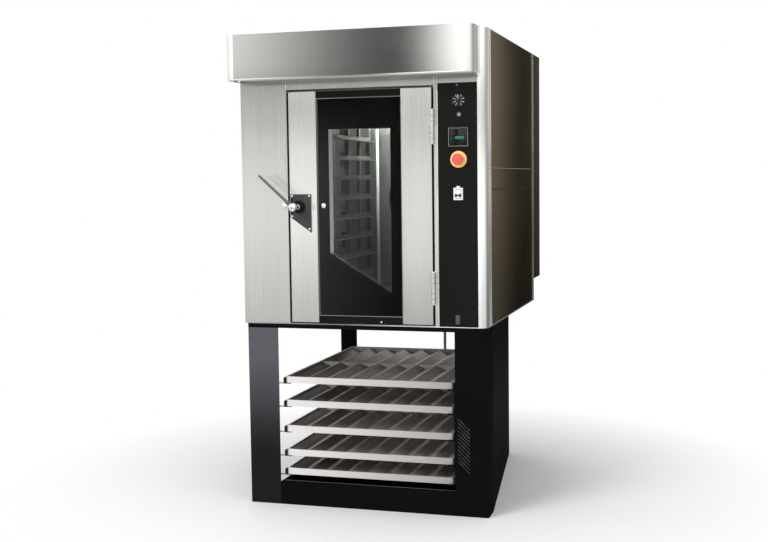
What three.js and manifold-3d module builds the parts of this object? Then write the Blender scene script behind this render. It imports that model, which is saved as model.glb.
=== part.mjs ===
// A compact rotating rack oven on a steel stand with fluted baking trays.
// Millimetres, +Z up, -Y is the front. The model is drawn from the cabinet's front left corner
// on the floor, and the outermost group then moves its origin to the middle of its footprint.
import * as THREE from 'three';
import { mergeVertices } from 'three/addons/utils/BufferGeometryUtils.js';
import Module from 'manifold-3d';

const wasm = await Module();
wasm.setup();

// ---------------------------------------------------------------- driving dimensions
const GAP = 0.3; // clearance between pieces that touch
const PAST = 1; // how far a cutting solid runs past the face it opens
const SHEET = 2.5; // cabinet sheet steel
const LINER_SHEET = 2.5; // stainless sheet of the baking chamber

// stand
const STAND_HEIGHT = 694;
const STAND_SHEET = 3;
const STAND_LEFT_INSET = 11; // the stand's left side behind the cabinet's left side
const LEFT_POST_WIDTH = 121;
const RIGHT_POST_WIDTH = 123;
const POST_DEPTH = 45;
const SIDE_RETURN_DEPTH = 85; // straight part of the right side before it tapers inwards
const SIDE_TAPER = 113; // how far the right side has come inwards at the rear
const LEFT_TAPER = 103;
const REAR_POST_WIDTH = 57;
const TOP_FRAME_HEIGHT = 16;
const TOP_FRAME_WIDTH = 40;
const PLINTH_HEIGHT = 88;
const PLINTH_LIP = 20;
const VENT_COUNT = 12;
const VENT_PITCH = 14.3;
const VENT_LENGTH = 46;
const VENT_DROP = 44;
const VENT_SLOT = 4.5;
const VENT_INSET = 8; // from the post's inner edge
const VENT_TOP = 366; // height of the first vent's left end

// fluted trays in the stand
const TRAY_LEFT_CLEARANCE = 18; // from the left post
const TRAY_RIGHT_CLEARANCE = 9; // from the right post
const TRAY_FRONT = 19;
const PAN_DEPTH = 411; // one pan: each level holds a front pan and a rear pan, hooked together
const RIM_HEIGHT = 24.5;
const RIM_WIDTH = 5;
const PAN_SHEET = 2;
const RIM_RADIUS = 12;
const FLUTE_COUNT = 8;
const FLUTE_DEPTH = 17;
const TRAY_TOPS = [490, 400, 302, 210, 137];
const RUNNER_SHEET = 3;
const RUNNER_LEDGE = 25;
const RUNNER_WEB = 20; // height of a runner's upright leg
const RUNNER_CLEARANCE = 4; // between a tray's rim and the left runner
const RUNNER_CLEARANCE_RIGHT = 3;
const RUNNER_SETBACK = 5.6; // from the stand's front
const RUNNER_STRUT = 35;
const RUNNER_ARM = 10; // depth of the arms that join the left runners to their strut
const STRUT_INSET = 14; // the left strut hides behind the post's face, this far from its edge
const REAR_POST_GAP = 5; // between the trays and the rear posts

// cabinet
const CABINET_WIDTH = 940;
const CABINET_DEPTH = 1015;
const CABINET_HEIGHT = 1071;
const CORNER_RADIUS = 30;
const FRONT_FRAME_DEPTH = 77;
const FRAME_STRIP_WIDTH = 15; // steel between the door opening and the control panel
const CONTROL_WIDTH = 144;
const CORNER_WIDTH = 34; // steel to the right of the control panel, round the corner
const CONTROL_HEIGHT = 876;
const CONTROL_LIFT = 3;
const CONTROL_PROUD = 1.5;
const CONTROL_BOX_DEPTH = 58;
const SIDE_SEAM = 497; // lower side panel's height
const SIDE_BAND = 77; // middle band's height
const SEAM_WIDTH = 1.5;
const REAR_CASING_DEPTH = 166;
const REAR_CASING_LIFT = 95; // above the cabinet's underside
const CASING_VENT_COUNT = 8;
const CASING_VENT_PITCH = 30;
const CASING_VENT_WIDTH = 260;
const CASING_VENT_HEIGHT = 8;

// hood over the door
const HOOD_REACH = 118;
const HOOD_HEIGHT = 164;
const HOOD_LEFT_OVERHANG = 11;
const HOOD_RIGHT_INSET = 22;
const HOOD_RADIUS = 35;
const HOOD_SHEET = 2;
const HOOD_LIP = 14;

// door opening and door
const OPENING_LEFT = 184;
const OPENING_LIFT = 3.2; // above the cabinet's underside
const OPENING_HEIGHT = 870;
const FRAME_RETURN = 62; // depth of the frame's return round the opening
const DOOR_SIDE_GAP = 7;
const DOOR_HINGE_GAP = 9;
const DOOR_BOTTOM_GAP = 5.5;
const DOOR_TOP_GAP = 8;
const DOOR_SETBACK = 0.5;
const DOOR_THICKNESS = 54;
const DOOR_SHEET = 2;
const LEFT_STRIP_WIDTH = 107;
const RIGHT_STRIP_WIDTH = 114;
const GLASS_EDGE_GAP = 1; // between the glass's free edge and the left strip
const GLASS_THICKNESS = 4;
const GLASS_PROUD = 4;
const MASK_THICKNESS = 1.7;
const GLASS_BOTTOM_MARGIN = 26;
const GLASS_TOP_MARGIN = 26;
const WINDOW_LEFT = 156; // clear window, from the door's left edge
const WINDOW_RIGHT_MARGIN = 154; // to the door's right edge
const WINDOW_TOP = 716; // from the door's bottom edge
const WINDOW_LEFT_BOTTOM = 260;
const WINDOW_RIGHT_BOTTOM = 112;
const PORT_MARGIN = 18; // the door's inner window is wider than the clear window by this
const INNER_GLASS_INSET = 42;
const GASKET_WIDTH = 14;
const GASKET_THICKNESS = 7;
const GASKET_INSET = 5; // from the door's edge

// door hinges
const HINGE_RADIUS = 8;
const HINGE_PIN_RADIUS = 4;
const HINGE_PROUD = 9; // hinge axis in front of the cabinet's front
const HINGE_INSET = 4.5; // hinge axis to the left of the opening's right edge
const HINGE_LEAF = 2.7;
const DOOR_LEAF_WIDTH = 12;
const DOOR_LEAF_INSET = 0.5; // from the door's edge
const FRAME_LEAF_INSET = 2; // from the control panel
const HINGE_PIN_DROP = 6; // pin's end under the hinge's top
const TOP_HINGE = { drop: 207.7, length: 121 }; // from the opening's top to the hinge's foot
const BOTTOM_HINGE = { lift: 82.3, length: 115 }; // from the opening's bottom

// handle
const HANDLE_X = 36; // spindle, from the door's left edge
const HANDLE_Z = 432; // from the door's bottom edge
const HANDLE_PLATE = { left: 2, right: 84, top: 479, leftBottom: 393, rightBottom: 335, thick: 2.7 };
const BOSS_RADIUS = 18;
const BOSS_HEIGHT = 12;
const SPINDLE_RADIUS = 7;
const SPINDLE_CLEARANCE = 0.3;
const SPINDLE_REACH = 78; // in front of the cabinet's front
const CLAMP_RADIUS = 12;
const CLAMP_LENGTH = 18;
const LEVER_RADIUS = 4.5;
const LEVER_TIP_RADIUS = 2.7;
const LEVER_LENGTH = 178;
const LEVER_ANGLE = 138; // degrees from +X, seen from the front
const LATCH_RADIUS = 48;
const LATCH_WIDTH = 16;
const LATCH_THICKNESS = 6;
const LATCH_SETBACK = 10;
const LATCH_CLEARANCE = 2;
const SPINDLE_TAIL = 3; // behind the latch
const SKIN_HOLE_CLEARANCE = 0.9; // round the spindle in the door's skin
const PLATE_SCREW_RADIUS = 3.5;
const PLATE_SCREW_LIFT = 2; // lower screws above the plate's slanted edge
const PLATE_SCREW_HEIGHT = 1.4;
const GLASS_KNOB = { radius: 9, shoulder: 5.9, crownRadius: 6.8, crown: 10.7, height: 13 };
const GLASS_KNOB_Z = 436; // from the door's bottom edge
const GLASS_KNOB_INSET = 30; // from the glass's free edge

// controls: x from the control panel's left edge, z from its bottom edge
const DIAL = { x: 78, z: 813, radius: 25, height: 12, base: 4, edge: 2, grip: 8, gripEnd: 3 };
const LAMP = { x: 79, z: 763, radius: 8.5, height: 3 };
const CONTROLLER = { x: 76, z: 684, size: 72, height: 6, recess: 2, rim: 4 };
const STOP = { x: 76, z: 604, ringRadius: 30, ringHeight: 7, travel: 4 };
const STOP_HEAD = { radius: 20, shoulder: 7.7, crownRadius: 17, height: 11 };
const STOP_STEM_RADIUS = 11;
const STOP_LIFT = 10; // mushroom head in front of its ring
const SWITCH = { x: 74, z: 481, width: 34, height: 44, thick: 5, rim: 5 };
const SWITCH_TAB = { width: 12, height: 6, thick: 3.5 };
const ROCKER_PROUD = 3;
const ROCKER_TILT_ROOM = 1.2;
const TAB = { x: 69, z: 27.5, width: 18, height: 37, thick: 3 };

// baking chamber
const CHAMBER_SIDE_WALL = 70; // from the cabinet's side to the chamber
const CHAMBER_FRONT = 80;
const CHAMBER_REAR_WALL = 55; // from the cabinet's back to the fan space
const CHAMBER_LIFT = 51; // above the cabinet's underside
const CHAMBER_HEIGHT = 800;
const DUCT_DEPTH = 80; // fan space behind the air wall
const MOUTH_MARGIN = 31; // from the door opening's side to the chamber's mouth
const MOUTH_BOTTOM_MARGIN = 49;
const MOUTH_TOP_MARGIN = 35;
const JACKET_MARGIN = 3.5; // insulation to the casing
const JACKET_TOP = 52; // insulation above the chamber
const INLET_RADIUS = 150;
const LOUVRE_COUNT = 6;
const LOUVRE_WIDTH = 38;
const LOUVRE_HEIGHT = 70;
const LOUVRE_PITCH = 120;
const LOUVRE_INSET = 24;

// rotating rack
const RACK_TRAY_WIDTH = 400;
const RACK_TRAY_LENGTH = 600;
const RACK_LEVELS = 8;
const RACK_PITCH = 80;
const RACK_TUBE = 18;
const RACK_LEDGE = 22;
const RACK_LEDGE_HEIGHT = 16;
const RACK_SHEET = 2.5;
const RACK_FLOOR_GAP = 26; // under the rack
const RACK_FIRST_LEVEL = 90; // above the chamber floor
const RACK_TOP = 735; // above the chamber floor
const ROTOR_SHAFT_RADIUS = 15;
const ROTOR_CLEARANCE = 1.5;
const GEARBOX = { width: 170, depth: 150, height: 78, flange: 5, flangeMargin: 15 };
const DRIVE_MOTOR_RADIUS = 42;
const DRIVE_MOTOR_LENGTH = 150;
const DRIVE_MOTOR_LIFT = 4; // above the middle of its gearbox
const SHAFT_IN_GEARBOX = 60;

// fan, heater and steam
const FAN_RADIUS = 170;
const FAN_DEPTH = 46;
const FAN_PLATE = 3;
const FAN_BLADES = 10;
const FAN_BLADE_LENGTH = 60;
const FAN_SHAFT_RADIUS = 10;
const FAN_HUB_RADIUS = 24;
const FAN_HUB_LENGTH = 31;
const FAN_FRONT_GAP = 14; // behind the air wall
const FAN_MOTOR_RADIUS = 75;
const FAN_MOTOR_FLANGE = { radius: 90, thick: 5 };
const FAN_MOTOR_LENGTH = 130;
const FAN_SHAFT_IN_MOTOR = 60;
const HEATER_RADIUS = 205;
const HEATER_TUBE_RADIUS = 5;
const HEATER_ANGLE = 300;
const HEATER_SETBACK = 30; // behind the air wall
const HEATER_TERMINAL = 4; // behind the cabinet's back
const STEAM_WIDTH = 150;
const STEAM_STEPS = 5;
const STEAM_PITCH = 62;
const STEAM_LEDGE = 40;
const STEAM_SHEET = 4;
const STEAM_LIP = 16;

// flue and drain
const FLUE = { inset: 130, setback: 80, radius: 60, wall: 2, rise: 35 }; // from the chamber's corner
const DAMPER_THICKNESS = 2;
const DAMPER_CLEARANCE = 2;
const DAMPER_SPINDLE_RADIUS = 4;
const DAMPER_DROP = 100; // under the flue's top
const DAMPER_LEVER = { offset: 8, thick: 4, length: 40 };
const DAMPER_SPINDLE_END = 4; // outside the collar
const DRAIN = { offset: 83.5, setback: 20, radius: 6.5, wall: 1.5, end: 60, flange: 16, flangeThick: 2 };
const GLAND = { x: 150, radius: 14, bore: 7, height: 18 };

// ---------------------------------------------------------------- places worked out
const UNDERSIDE = STAND_HEIGHT + GAP;
const CABINET_TOP = STAND_HEIGHT + CABINET_HEIGHT;
const CONTROL_RIGHT = CABINET_WIDTH - CORNER_WIDTH;
const CONTROL_LEFT = CONTROL_RIGHT - CONTROL_WIDTH;
const OPENING_RIGHT = CONTROL_LEFT - FRAME_STRIP_WIDTH;
const OPENING_BOTTOM = UNDERSIDE + OPENING_LIFT;
const OPENING_TOP = OPENING_BOTTOM + OPENING_HEIGHT;
const CONTROL_BOTTOM = UNDERSIDE + CONTROL_LIFT;
const CONTROL_TOP = CONTROL_BOTTOM + CONTROL_HEIGHT;
const DOOR_LEFT = OPENING_LEFT + DOOR_SIDE_GAP;
const DOOR_WIDTH = OPENING_RIGHT - OPENING_LEFT - DOOR_SIDE_GAP - DOOR_HINGE_GAP;
const WINDOW_RIGHT = DOOR_WIDTH - WINDOW_RIGHT_MARGIN;
const DOOR_BOTTOM = OPENING_BOTTOM + DOOR_BOTTOM_GAP;
const DOOR_HEIGHT = OPENING_HEIGHT - DOOR_BOTTOM_GAP - DOOR_TOP_GAP;
const HOOD_BOTTOM = CABINET_TOP - HOOD_HEIGHT;
const LATCH_DROP = LATCH_WIDTH / 2 + LATCH_CLEARANCE;
const LATCH_REACH = Math.hypot(LATCH_RADIUS, LATCH_WIDTH / 2);
// How high the latch's outer corner passes at this distance beside its spindle.
const latchRise = (distance) => Math.sqrt(LATCH_REACH ** 2 - distance ** 2) + LATCH_CLEARANCE;
const CHAMBER_FLOOR = UNDERSIDE + CHAMBER_LIFT;
const CHAMBER_TOP = CHAMBER_FLOOR + CHAMBER_HEIGHT;
const CHAMBER_LEFT = CHAMBER_SIDE_WALL;
const CHAMBER_RIGHT = CABINET_WIDTH - CHAMBER_SIDE_WALL;
const DUCT_REAR = CABINET_DEPTH - CHAMBER_REAR_WALL;
const CHAMBER_REAR = DUCT_REAR - DUCT_DEPTH; // the air wall's front
const AXIS_X = CABINET_WIDTH / 2;
const AXIS_Y = (CHAMBER_FRONT + CHAMBER_REAR) / 2;
const AXIS_Z = CHAMBER_FLOOR + CHAMBER_HEIGHT / 2;
const BACK_INNER = CABINET_DEPTH - SHEET;
const REAR_BOTTOM = UNDERSIDE + REAR_CASING_LIFT;
const REAR_FACE = CABINET_DEPTH + REAR_CASING_DEPTH;
const FLUE_TOP = CABINET_TOP + FLUE.rise;
const FLUE_X = CHAMBER_RIGHT - FLUE.inset;
const FLUE_Y = CHAMBER_REAR - FLUE.setback;
const DRAIN_X = AXIS_X + DRAIN.offset;
const DRAIN_Y = DUCT_REAR - DRAIN.setback;
const POST_TOP = STAND_HEIGHT - TOP_FRAME_HEIGHT - GAP;
const MOUTH_WALL_FRONT = FRONT_FRAME_DEPTH + GAP;
const MOUTH_WALL_REAR = MOUTH_WALL_FRONT + SHEET;
const STAND_LEFT = STAND_LEFT_INSET;
const LEFT_POST_RIGHT = STAND_LEFT + LEFT_POST_WIDTH;
const RIGHT_POST_LEFT = CABINET_WIDTH - RIGHT_POST_WIDTH;
const STAND_DEPTH = CABINET_DEPTH;
const TRAY_DEPTH = 2 * PAN_DEPTH;
const TRAY_LEFT = LEFT_POST_RIGHT + TRAY_LEFT_CLEARANCE;
const TRAY_RIGHT = RIGHT_POST_LEFT - TRAY_RIGHT_CLEARANCE;
const TRAY_WIDTH = TRAY_RIGHT - TRAY_LEFT;
const REAR_POST_FRONT = TRAY_FRONT + TRAY_DEPTH + REAR_POST_GAP;
const REAR_POST_REAR = REAR_POST_FRONT + REAR_POST_WIDTH;

// ---------------------------------------------------------------- materials
const finish = (color, roughness, metalness) =>
  new THREE.MeshStandardMaterial({ color, roughness, metalness });
const brushedSteel = finish('#cfd0cb', 0.35, 0.9);
const darkSteel = finish('#4a4136', 0.4, 0.85);
const linerSteel = finish('#b9bab6', 0.3, 0.9);
const blackPaint = finish('#161617', 0.55, 0.1);
const blackPanel = finish('#1c1c1b', 0.35, 0.05);
const clearGlass = finish('#2a3230', 0.05, 0.0);
const trayMetal = finish('#8c8984', 0.4, 0.8);
const rackSteel = finish('#a8a9a5', 0.35, 0.9);
const seal = finish('#0d0d0d', 0.8, 0.0);
const wool = finish('#b8a98a', 0.95, 0.0);
const plateGrey = finish('#4f4f50', 0.5, 0.6);
const brightSteel = finish('#e2e2df', 0.2, 0.95);
const stopYellow = finish('#f7c948', 0.45, 0.0);
const stopRed = finish('#d8404a', 0.4, 0.0);
const whitePlastic = finish('#e8e8e6', 0.5, 0.0);
const blackPlastic = finish('#111112', 0.45, 0.0);
const motorGrey = finish('#5d6266', 0.5, 0.5);
const heaterMetal = finish('#59524b', 0.5, 0.7);

// ---------------------------------------------------------------- solid helpers
function toSolid(geometry) {
  const bare = geometry.index ? geometry.toNonIndexed() : geometry.clone();
  bare.deleteAttribute('normal');
  bare.deleteAttribute('uv');
  const merged = mergeVertices(bare, 1e-4);
  const mesh = new wasm.Mesh({
    numProp: 3,
    vertProperties: new Float32Array(merged.attributes.position.array),
    triVerts: new Uint32Array(merged.index.array),
  });
  return new wasm.Manifold(mesh);
}

function toGeometry(solid) {
  const mesh = solid.getMesh();
  const geometry = new THREE.BufferGeometry();
  geometry.setAttribute('position', new THREE.BufferAttribute(mesh.vertProperties, 3));
  geometry.setIndex(new THREE.BufferAttribute(mesh.triVerts, 1));
  geometry.computeVertexNormals();
  return geometry;
}

const join = (...solids) => solids.reduce((sum, solid) => sum.add(solid));
const cut = (solid, ...tools) => tools.reduce((rest, tool) => rest.subtract(tool), solid);

// A block between two corners.
function block(x0, x1, y0, y1, z0, z1) {
  const geometry = new THREE.BoxGeometry(x1 - x0, y1 - y0, z1 - z0);
  geometry.translate((x0 + x1) / 2, (y0 + y1) / 2, (z0 + z1) / 2);
  return toSolid(geometry);
}

// A round bar between two points.
function bar(radius, from, to, sides = 20) {
  const start = new THREE.Vector3(...from);
  const end = new THREE.Vector3(...to);
  const along = end.clone().sub(start);
  const geometry = new THREE.CylinderGeometry(radius, radius, along.length(), sides);
  geometry.applyQuaternion(
    new THREE.Quaternion().setFromUnitVectors(new THREE.Vector3(0, 1, 0), along.clone().normalize()));
  const middle = start.add(end).multiplyScalar(0.5);
  geometry.translate(middle.x, middle.y, middle.z);
  return toSolid(geometry);
}

const shapeOf = (points) => new THREE.Shape(points.map(([a, b]) => new THREE.Vector2(a, b)));
const extrude = (shape, depth) =>
  new THREE.ExtrudeGeometry(shape, { depth, bevelEnabled: false, curveSegments: 5 });

// An outline in plan (x, y), raised from z0 to z1.
function upright(shape, z0, z1) {
  const geometry = extrude(shape, z1 - z0);
  geometry.translate(0, 0, z0);
  return toSolid(geometry);
}

// An outline seen from the front (x, z), taken back from y0 to y1.
function facing(shape, y0, y1) {
  const geometry = extrude(shape, y1 - y0);
  geometry.rotateX(Math.PI / 2);
  geometry.translate(0, y1, 0);
  return toSolid(geometry);
}

// A turned piece whose axis points to the front, from its half profile (radius, height).
function turned(profile, sides) {
  const geometry = new THREE.LatheGeometry(
    profile.map(([radius, height]) => new THREE.Vector2(radius, height)), sides);
  geometry.rotateX(Math.PI);
  return toSolid(geometry);
}

// A rectangular frame of bars seen from the front: outside edges and the width of its bars.
function frontFrame(x0, x1, z0, z1, width, y0, y1) {
  const inside = block(x0 + width, x1 - width, y0 - PAST, y1 + PAST, z0 + width, z1 - width);
  return cut(block(x0, x1, y0, y1, z0, z1), inside);
}

// A tube of the given outer edges round an opening, seen from the front.
function sleeve(x0, x1, z0, z1, wall, y0, y1) {
  return frontFrame(x0 - wall, x1 + wall, z0 - wall, z1 + wall, wall, y0, y1);
}

function place(parent, name, solid, material, position = [0, 0, 0]) {
  const mesh = new THREE.Mesh(toGeometry(solid), material);
  mesh.name = name;
  mesh.position.set(...position);
  parent.add(mesh);
  return mesh;
}

function nested(parent, x, y, z) {
  const group = new THREE.Group();
  group.position.set(x, y, z);
  parent.add(group);
  return group;
}

const oven = new THREE.Group();
const plan = nested(oven,
  -(CABINET_WIDTH - HOOD_LEFT_OVERHANG) / 2, -(REAR_FACE - HOOD_REACH) / 2, 0);

// ---------------------------------------------------------------- stand
const rightSideAt = (y) => CABINET_WIDTH
  - SIDE_TAPER * Math.max(0, y - SIDE_RETURN_DEPTH) / (STAND_DEPTH - SIDE_RETURN_DEPTH);
const leftSideAt = (y) => STAND_LEFT + LEFT_TAPER * y / STAND_DEPTH;

function buildStand() {
  const stand = nested(plan, 0, 0, 0);

  // The front left post is an angle, with its return along its left edge.
  const leftPost = cut(
    block(STAND_LEFT, LEFT_POST_RIGHT, 0, POST_DEPTH, 0, POST_TOP),
    block(STAND_LEFT + STAND_SHEET, LEFT_POST_RIGHT + PAST,
      STAND_SHEET, POST_DEPTH + PAST, -PAST, POST_TOP + PAST));
  place(stand, 'stand_front_left_post', leftPost, blackPaint);

  // The rear posts are square tubes right behind the trays.
  const tube = cut(
    block(0, REAR_POST_WIDTH, 0, REAR_POST_WIDTH, 0, POST_TOP),
    block(STAND_SHEET, REAR_POST_WIDTH - STAND_SHEET,
      STAND_SHEET, REAR_POST_WIDTH - STAND_SHEET, -PAST, POST_TOP + PAST));
  const leftX = leftSideAt(REAR_POST_FRONT);
  const rightX = rightSideAt(REAR_POST_REAR) - STAND_SHEET - GAP - REAR_POST_WIDTH;
  place(stand, 'stand_rear_left_post', tube, blackPaint, [leftX, REAR_POST_FRONT, 0]);
  place(stand, 'stand_rear_right_post', tube, blackPaint, [rightX, REAR_POST_FRONT, 0]);

  // The right side is one folded sheet: front face, straight return, tapered side.
  const rearX = rightSideAt(STAND_DEPTH);
  const fold = shapeOf([
    [RIGHT_POST_LEFT, 0],
    [CABINET_WIDTH - STAND_SHEET, 0],
    [CABINET_WIDTH, STAND_SHEET],
    [CABINET_WIDTH, SIDE_RETURN_DEPTH],
    [rearX, STAND_DEPTH],
    [rearX - STAND_SHEET, STAND_DEPTH],
    [CABINET_WIDTH - STAND_SHEET, SIDE_RETURN_DEPTH],
    [CABINET_WIDTH - STAND_SHEET, STAND_SHEET],
    [RIGHT_POST_LEFT + STAND_SHEET, STAND_SHEET],
    [RIGHT_POST_LEFT + STAND_SHEET, POST_DEPTH],
    [RIGHT_POST_LEFT, POST_DEPTH],
  ]);
  let side = upright(fold, 0, POST_TOP);
  for (let i = 0; i < VENT_COUNT; i += 1) {
    const x = RIGHT_POST_LEFT + VENT_INSET;
    const z = VENT_TOP - i * VENT_PITCH;
    const slot = shapeOf([
      [x, z - VENT_SLOT], [x + VENT_LENGTH, z - VENT_SLOT - VENT_DROP],
      [x + VENT_LENGTH, z - VENT_DROP], [x, z],
    ]);
    side = cut(side, facing(slot, -PAST, STAND_SHEET + PAST));
  }
  place(stand, 'stand_right_side', side, blackPaint);

  // A ring of flat bars on the posts carries the cabinet.
  const corners = (inset) => shapeOf([
    [STAND_LEFT + inset, inset],
    [CABINET_WIDTH - inset, inset],
    [CABINET_WIDTH - inset, SIDE_RETURN_DEPTH],
    [rearX - inset, STAND_DEPTH - inset],
    [leftSideAt(STAND_DEPTH) + inset, STAND_DEPTH - inset],
  ]);
  const ring = cut(
    upright(corners(0), STAND_HEIGHT - TOP_FRAME_HEIGHT, STAND_HEIGHT),
    upright(corners(TOP_FRAME_WIDTH), 0, STAND_HEIGHT + PAST));
  place(stand, 'stand_top_frame', ring, blackPaint);

  // The base is a shallow tray behind a wide plinth with a folded lip.
  const trayLeft = leftX + REAR_POST_WIDTH + GAP;
  const trayRight = rightX - GAP;
  const baseRear = STAND_DEPTH - STAND_SHEET;
  const base = join(
    block(LEFT_POST_RIGHT + GAP, RIGHT_POST_LEFT - GAP, 0, STAND_SHEET, 0, PLINTH_HEIGHT),
    block(LEFT_POST_RIGHT + GAP, RIGHT_POST_LEFT - GAP,
      0, PLINTH_LIP, PLINTH_HEIGHT - STAND_SHEET, PLINTH_HEIGHT),
    block(trayLeft, trayRight, 0, baseRear, 0, STAND_SHEET),
    block(trayLeft, trayLeft + STAND_SHEET, 0, baseRear, 0, PLINTH_HEIGHT),
    block(trayRight - STAND_SHEET, trayRight, 0, baseRear, 0, PLINTH_HEIGHT),
    block(trayLeft, trayRight, baseRear - STAND_SHEET, baseRear, 0, PLINTH_HEIGHT));
  place(stand, 'stand_base', base, blackPaint);

  // Each side has five runners. The right ones are on two struts beside the posts. The left ones
  // have arms to a strut behind the front post's face, and end at the rear post.
  const levels = TRAY_TOPS.map((top) => top - RIM_HEIGHT - GAP);
  const strutTop = Math.max(...levels);
  const strutBottom = Math.min(...levels) - RUNNER_SHEET;
  const rails = (web, inward, front) => {
    const webEnd = web + inward * RUNNER_SHEET;
    const ledgeEnd = webEnd + inward * RUNNER_LEDGE;
    return levels.flatMap((level) => [
      block(Math.min(web, webEnd), Math.max(web, webEnd),
        front, REAR_POST_FRONT - GAP, level - RUNNER_SHEET, level + RUNNER_WEB),
      block(Math.min(web, ledgeEnd), Math.max(web, ledgeEnd),
        front, REAR_POST_FRONT - GAP, level - RUNNER_SHEET, level),
    ]);
  };
  const strut = (from, to, y) =>
    block(from, to, y, y + RUNNER_STRUT, strutBottom, strutTop + RUNNER_WEB);
  const leftWeb = TRAY_LEFT - RUNNER_CLEARANCE - RUNNER_SHEET;
  const rightWeb = TRAY_RIGHT + RUNNER_CLEARANCE_RIGHT + RUNNER_SHEET;
  const leftStrut = LEFT_POST_RIGHT - STRUT_INSET;
  const arms = levels.map((level) => block(leftStrut - PAST, leftWeb + RUNNER_SHEET / 2,
    TRAY_FRONT, TRAY_FRONT + RUNNER_ARM, level - RUNNER_SHEET, level));
  place(stand, 'tray_runners_left', join(...rails(leftWeb, 1, TRAY_FRONT), ...arms,
    strut(leftStrut - RUNNER_STRUT, leftStrut, STAND_SHEET + GAP)), blackPaint);
  place(stand, 'tray_runners_right', join(...rails(rightWeb, -1, RUNNER_SETBACK),
    ...[RUNNER_SETBACK, REAR_POST_FRONT - GAP - RUNNER_STRUT].map((y) =>
      strut(rightWeb - RUNNER_SHEET / 2, RIGHT_POST_LEFT - GAP, y))), blackPaint);
}

// One level holds two fluted pans, one behind the other, hooked together at the middle.
function buildTrays() {
  const pitch = (TRAY_WIDTH - 2 * RIM_WIDTH) / FLUTE_COUNT;
  const valley = PAN_SHEET;
  const ridge = PAN_SHEET + FLUTE_DEPTH;
  const upper = [];
  const lower = [];
  for (let i = 0; i <= FLUTE_COUNT; i += 1) {
    const x = RIM_WIDTH + i * pitch;
    upper.push([x, ridge]);
    lower.push([x, ridge - PAN_SHEET]);
    if (i < FLUTE_COUNT) {
      upper.push([x + pitch / 2, valley]);
      lower.push([x + pitch / 2, 0]);
    }
  }
  const zigzag = shapeOf([...lower, ...upper.reverse()]);
  const outline = new THREE.Shape();
  const r = RIM_RADIUS;
  outline.moveTo(r, 0);
  outline.lineTo(TRAY_WIDTH - r, 0);
  outline.absarc(TRAY_WIDTH - r, r, r, -Math.PI / 2, 0);
  outline.lineTo(TRAY_WIDTH, TRAY_DEPTH - r);
  outline.absarc(TRAY_WIDTH - r, TRAY_DEPTH - r, r, 0, Math.PI / 2);
  outline.lineTo(r, TRAY_DEPTH);
  outline.absarc(r, TRAY_DEPTH - r, r, Math.PI / 2, Math.PI);
  outline.lineTo(0, r);
  outline.absarc(r, r, r, Math.PI, Math.PI * 1.5);
  const rim = cut(
    upright(outline, 0, RIM_HEIGHT),
    block(RIM_WIDTH, TRAY_WIDTH - RIM_WIDTH, RIM_WIDTH, TRAY_DEPTH - RIM_WIDTH,
      -PAST, RIM_HEIGHT + PAST));
  const flutes = facing(zigzag, RIM_WIDTH / 2, TRAY_DEPTH - RIM_WIDTH / 2);
  const middle = block(RIM_WIDTH / 2, TRAY_WIDTH - RIM_WIDTH / 2,
    PAN_DEPTH - RIM_WIDTH / 2, PAN_DEPTH + RIM_WIDTH / 2, 0, ridge);
  const pans = join(rim, flutes, middle);
  TRAY_TOPS.forEach((top, i) => {
    const level = nested(plan, TRAY_LEFT, TRAY_FRONT, top - RIM_HEIGHT);
    place(level, `stand_tray_${i + 1}`, pans, trayMetal);
  });
}

// ---------------------------------------------------------------- cabinet
// An outline whose front right corner is rounded, kept inside the corner trim.
function roundedPlan(x0, x1, y0, y1, inset) {
  const shape = new THREE.Shape();
  const radius = CORNER_RADIUS - inset;
  shape.moveTo(x0, y0);
  shape.lineTo(CABINET_WIDTH - CORNER_RADIUS, y0);
  shape.absarc(CABINET_WIDTH - CORNER_RADIUS, CORNER_RADIUS, radius, -Math.PI / 2, 0);
  shape.lineTo(x1, y1);
  shape.lineTo(x0, y1);
  return shape;
}

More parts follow.
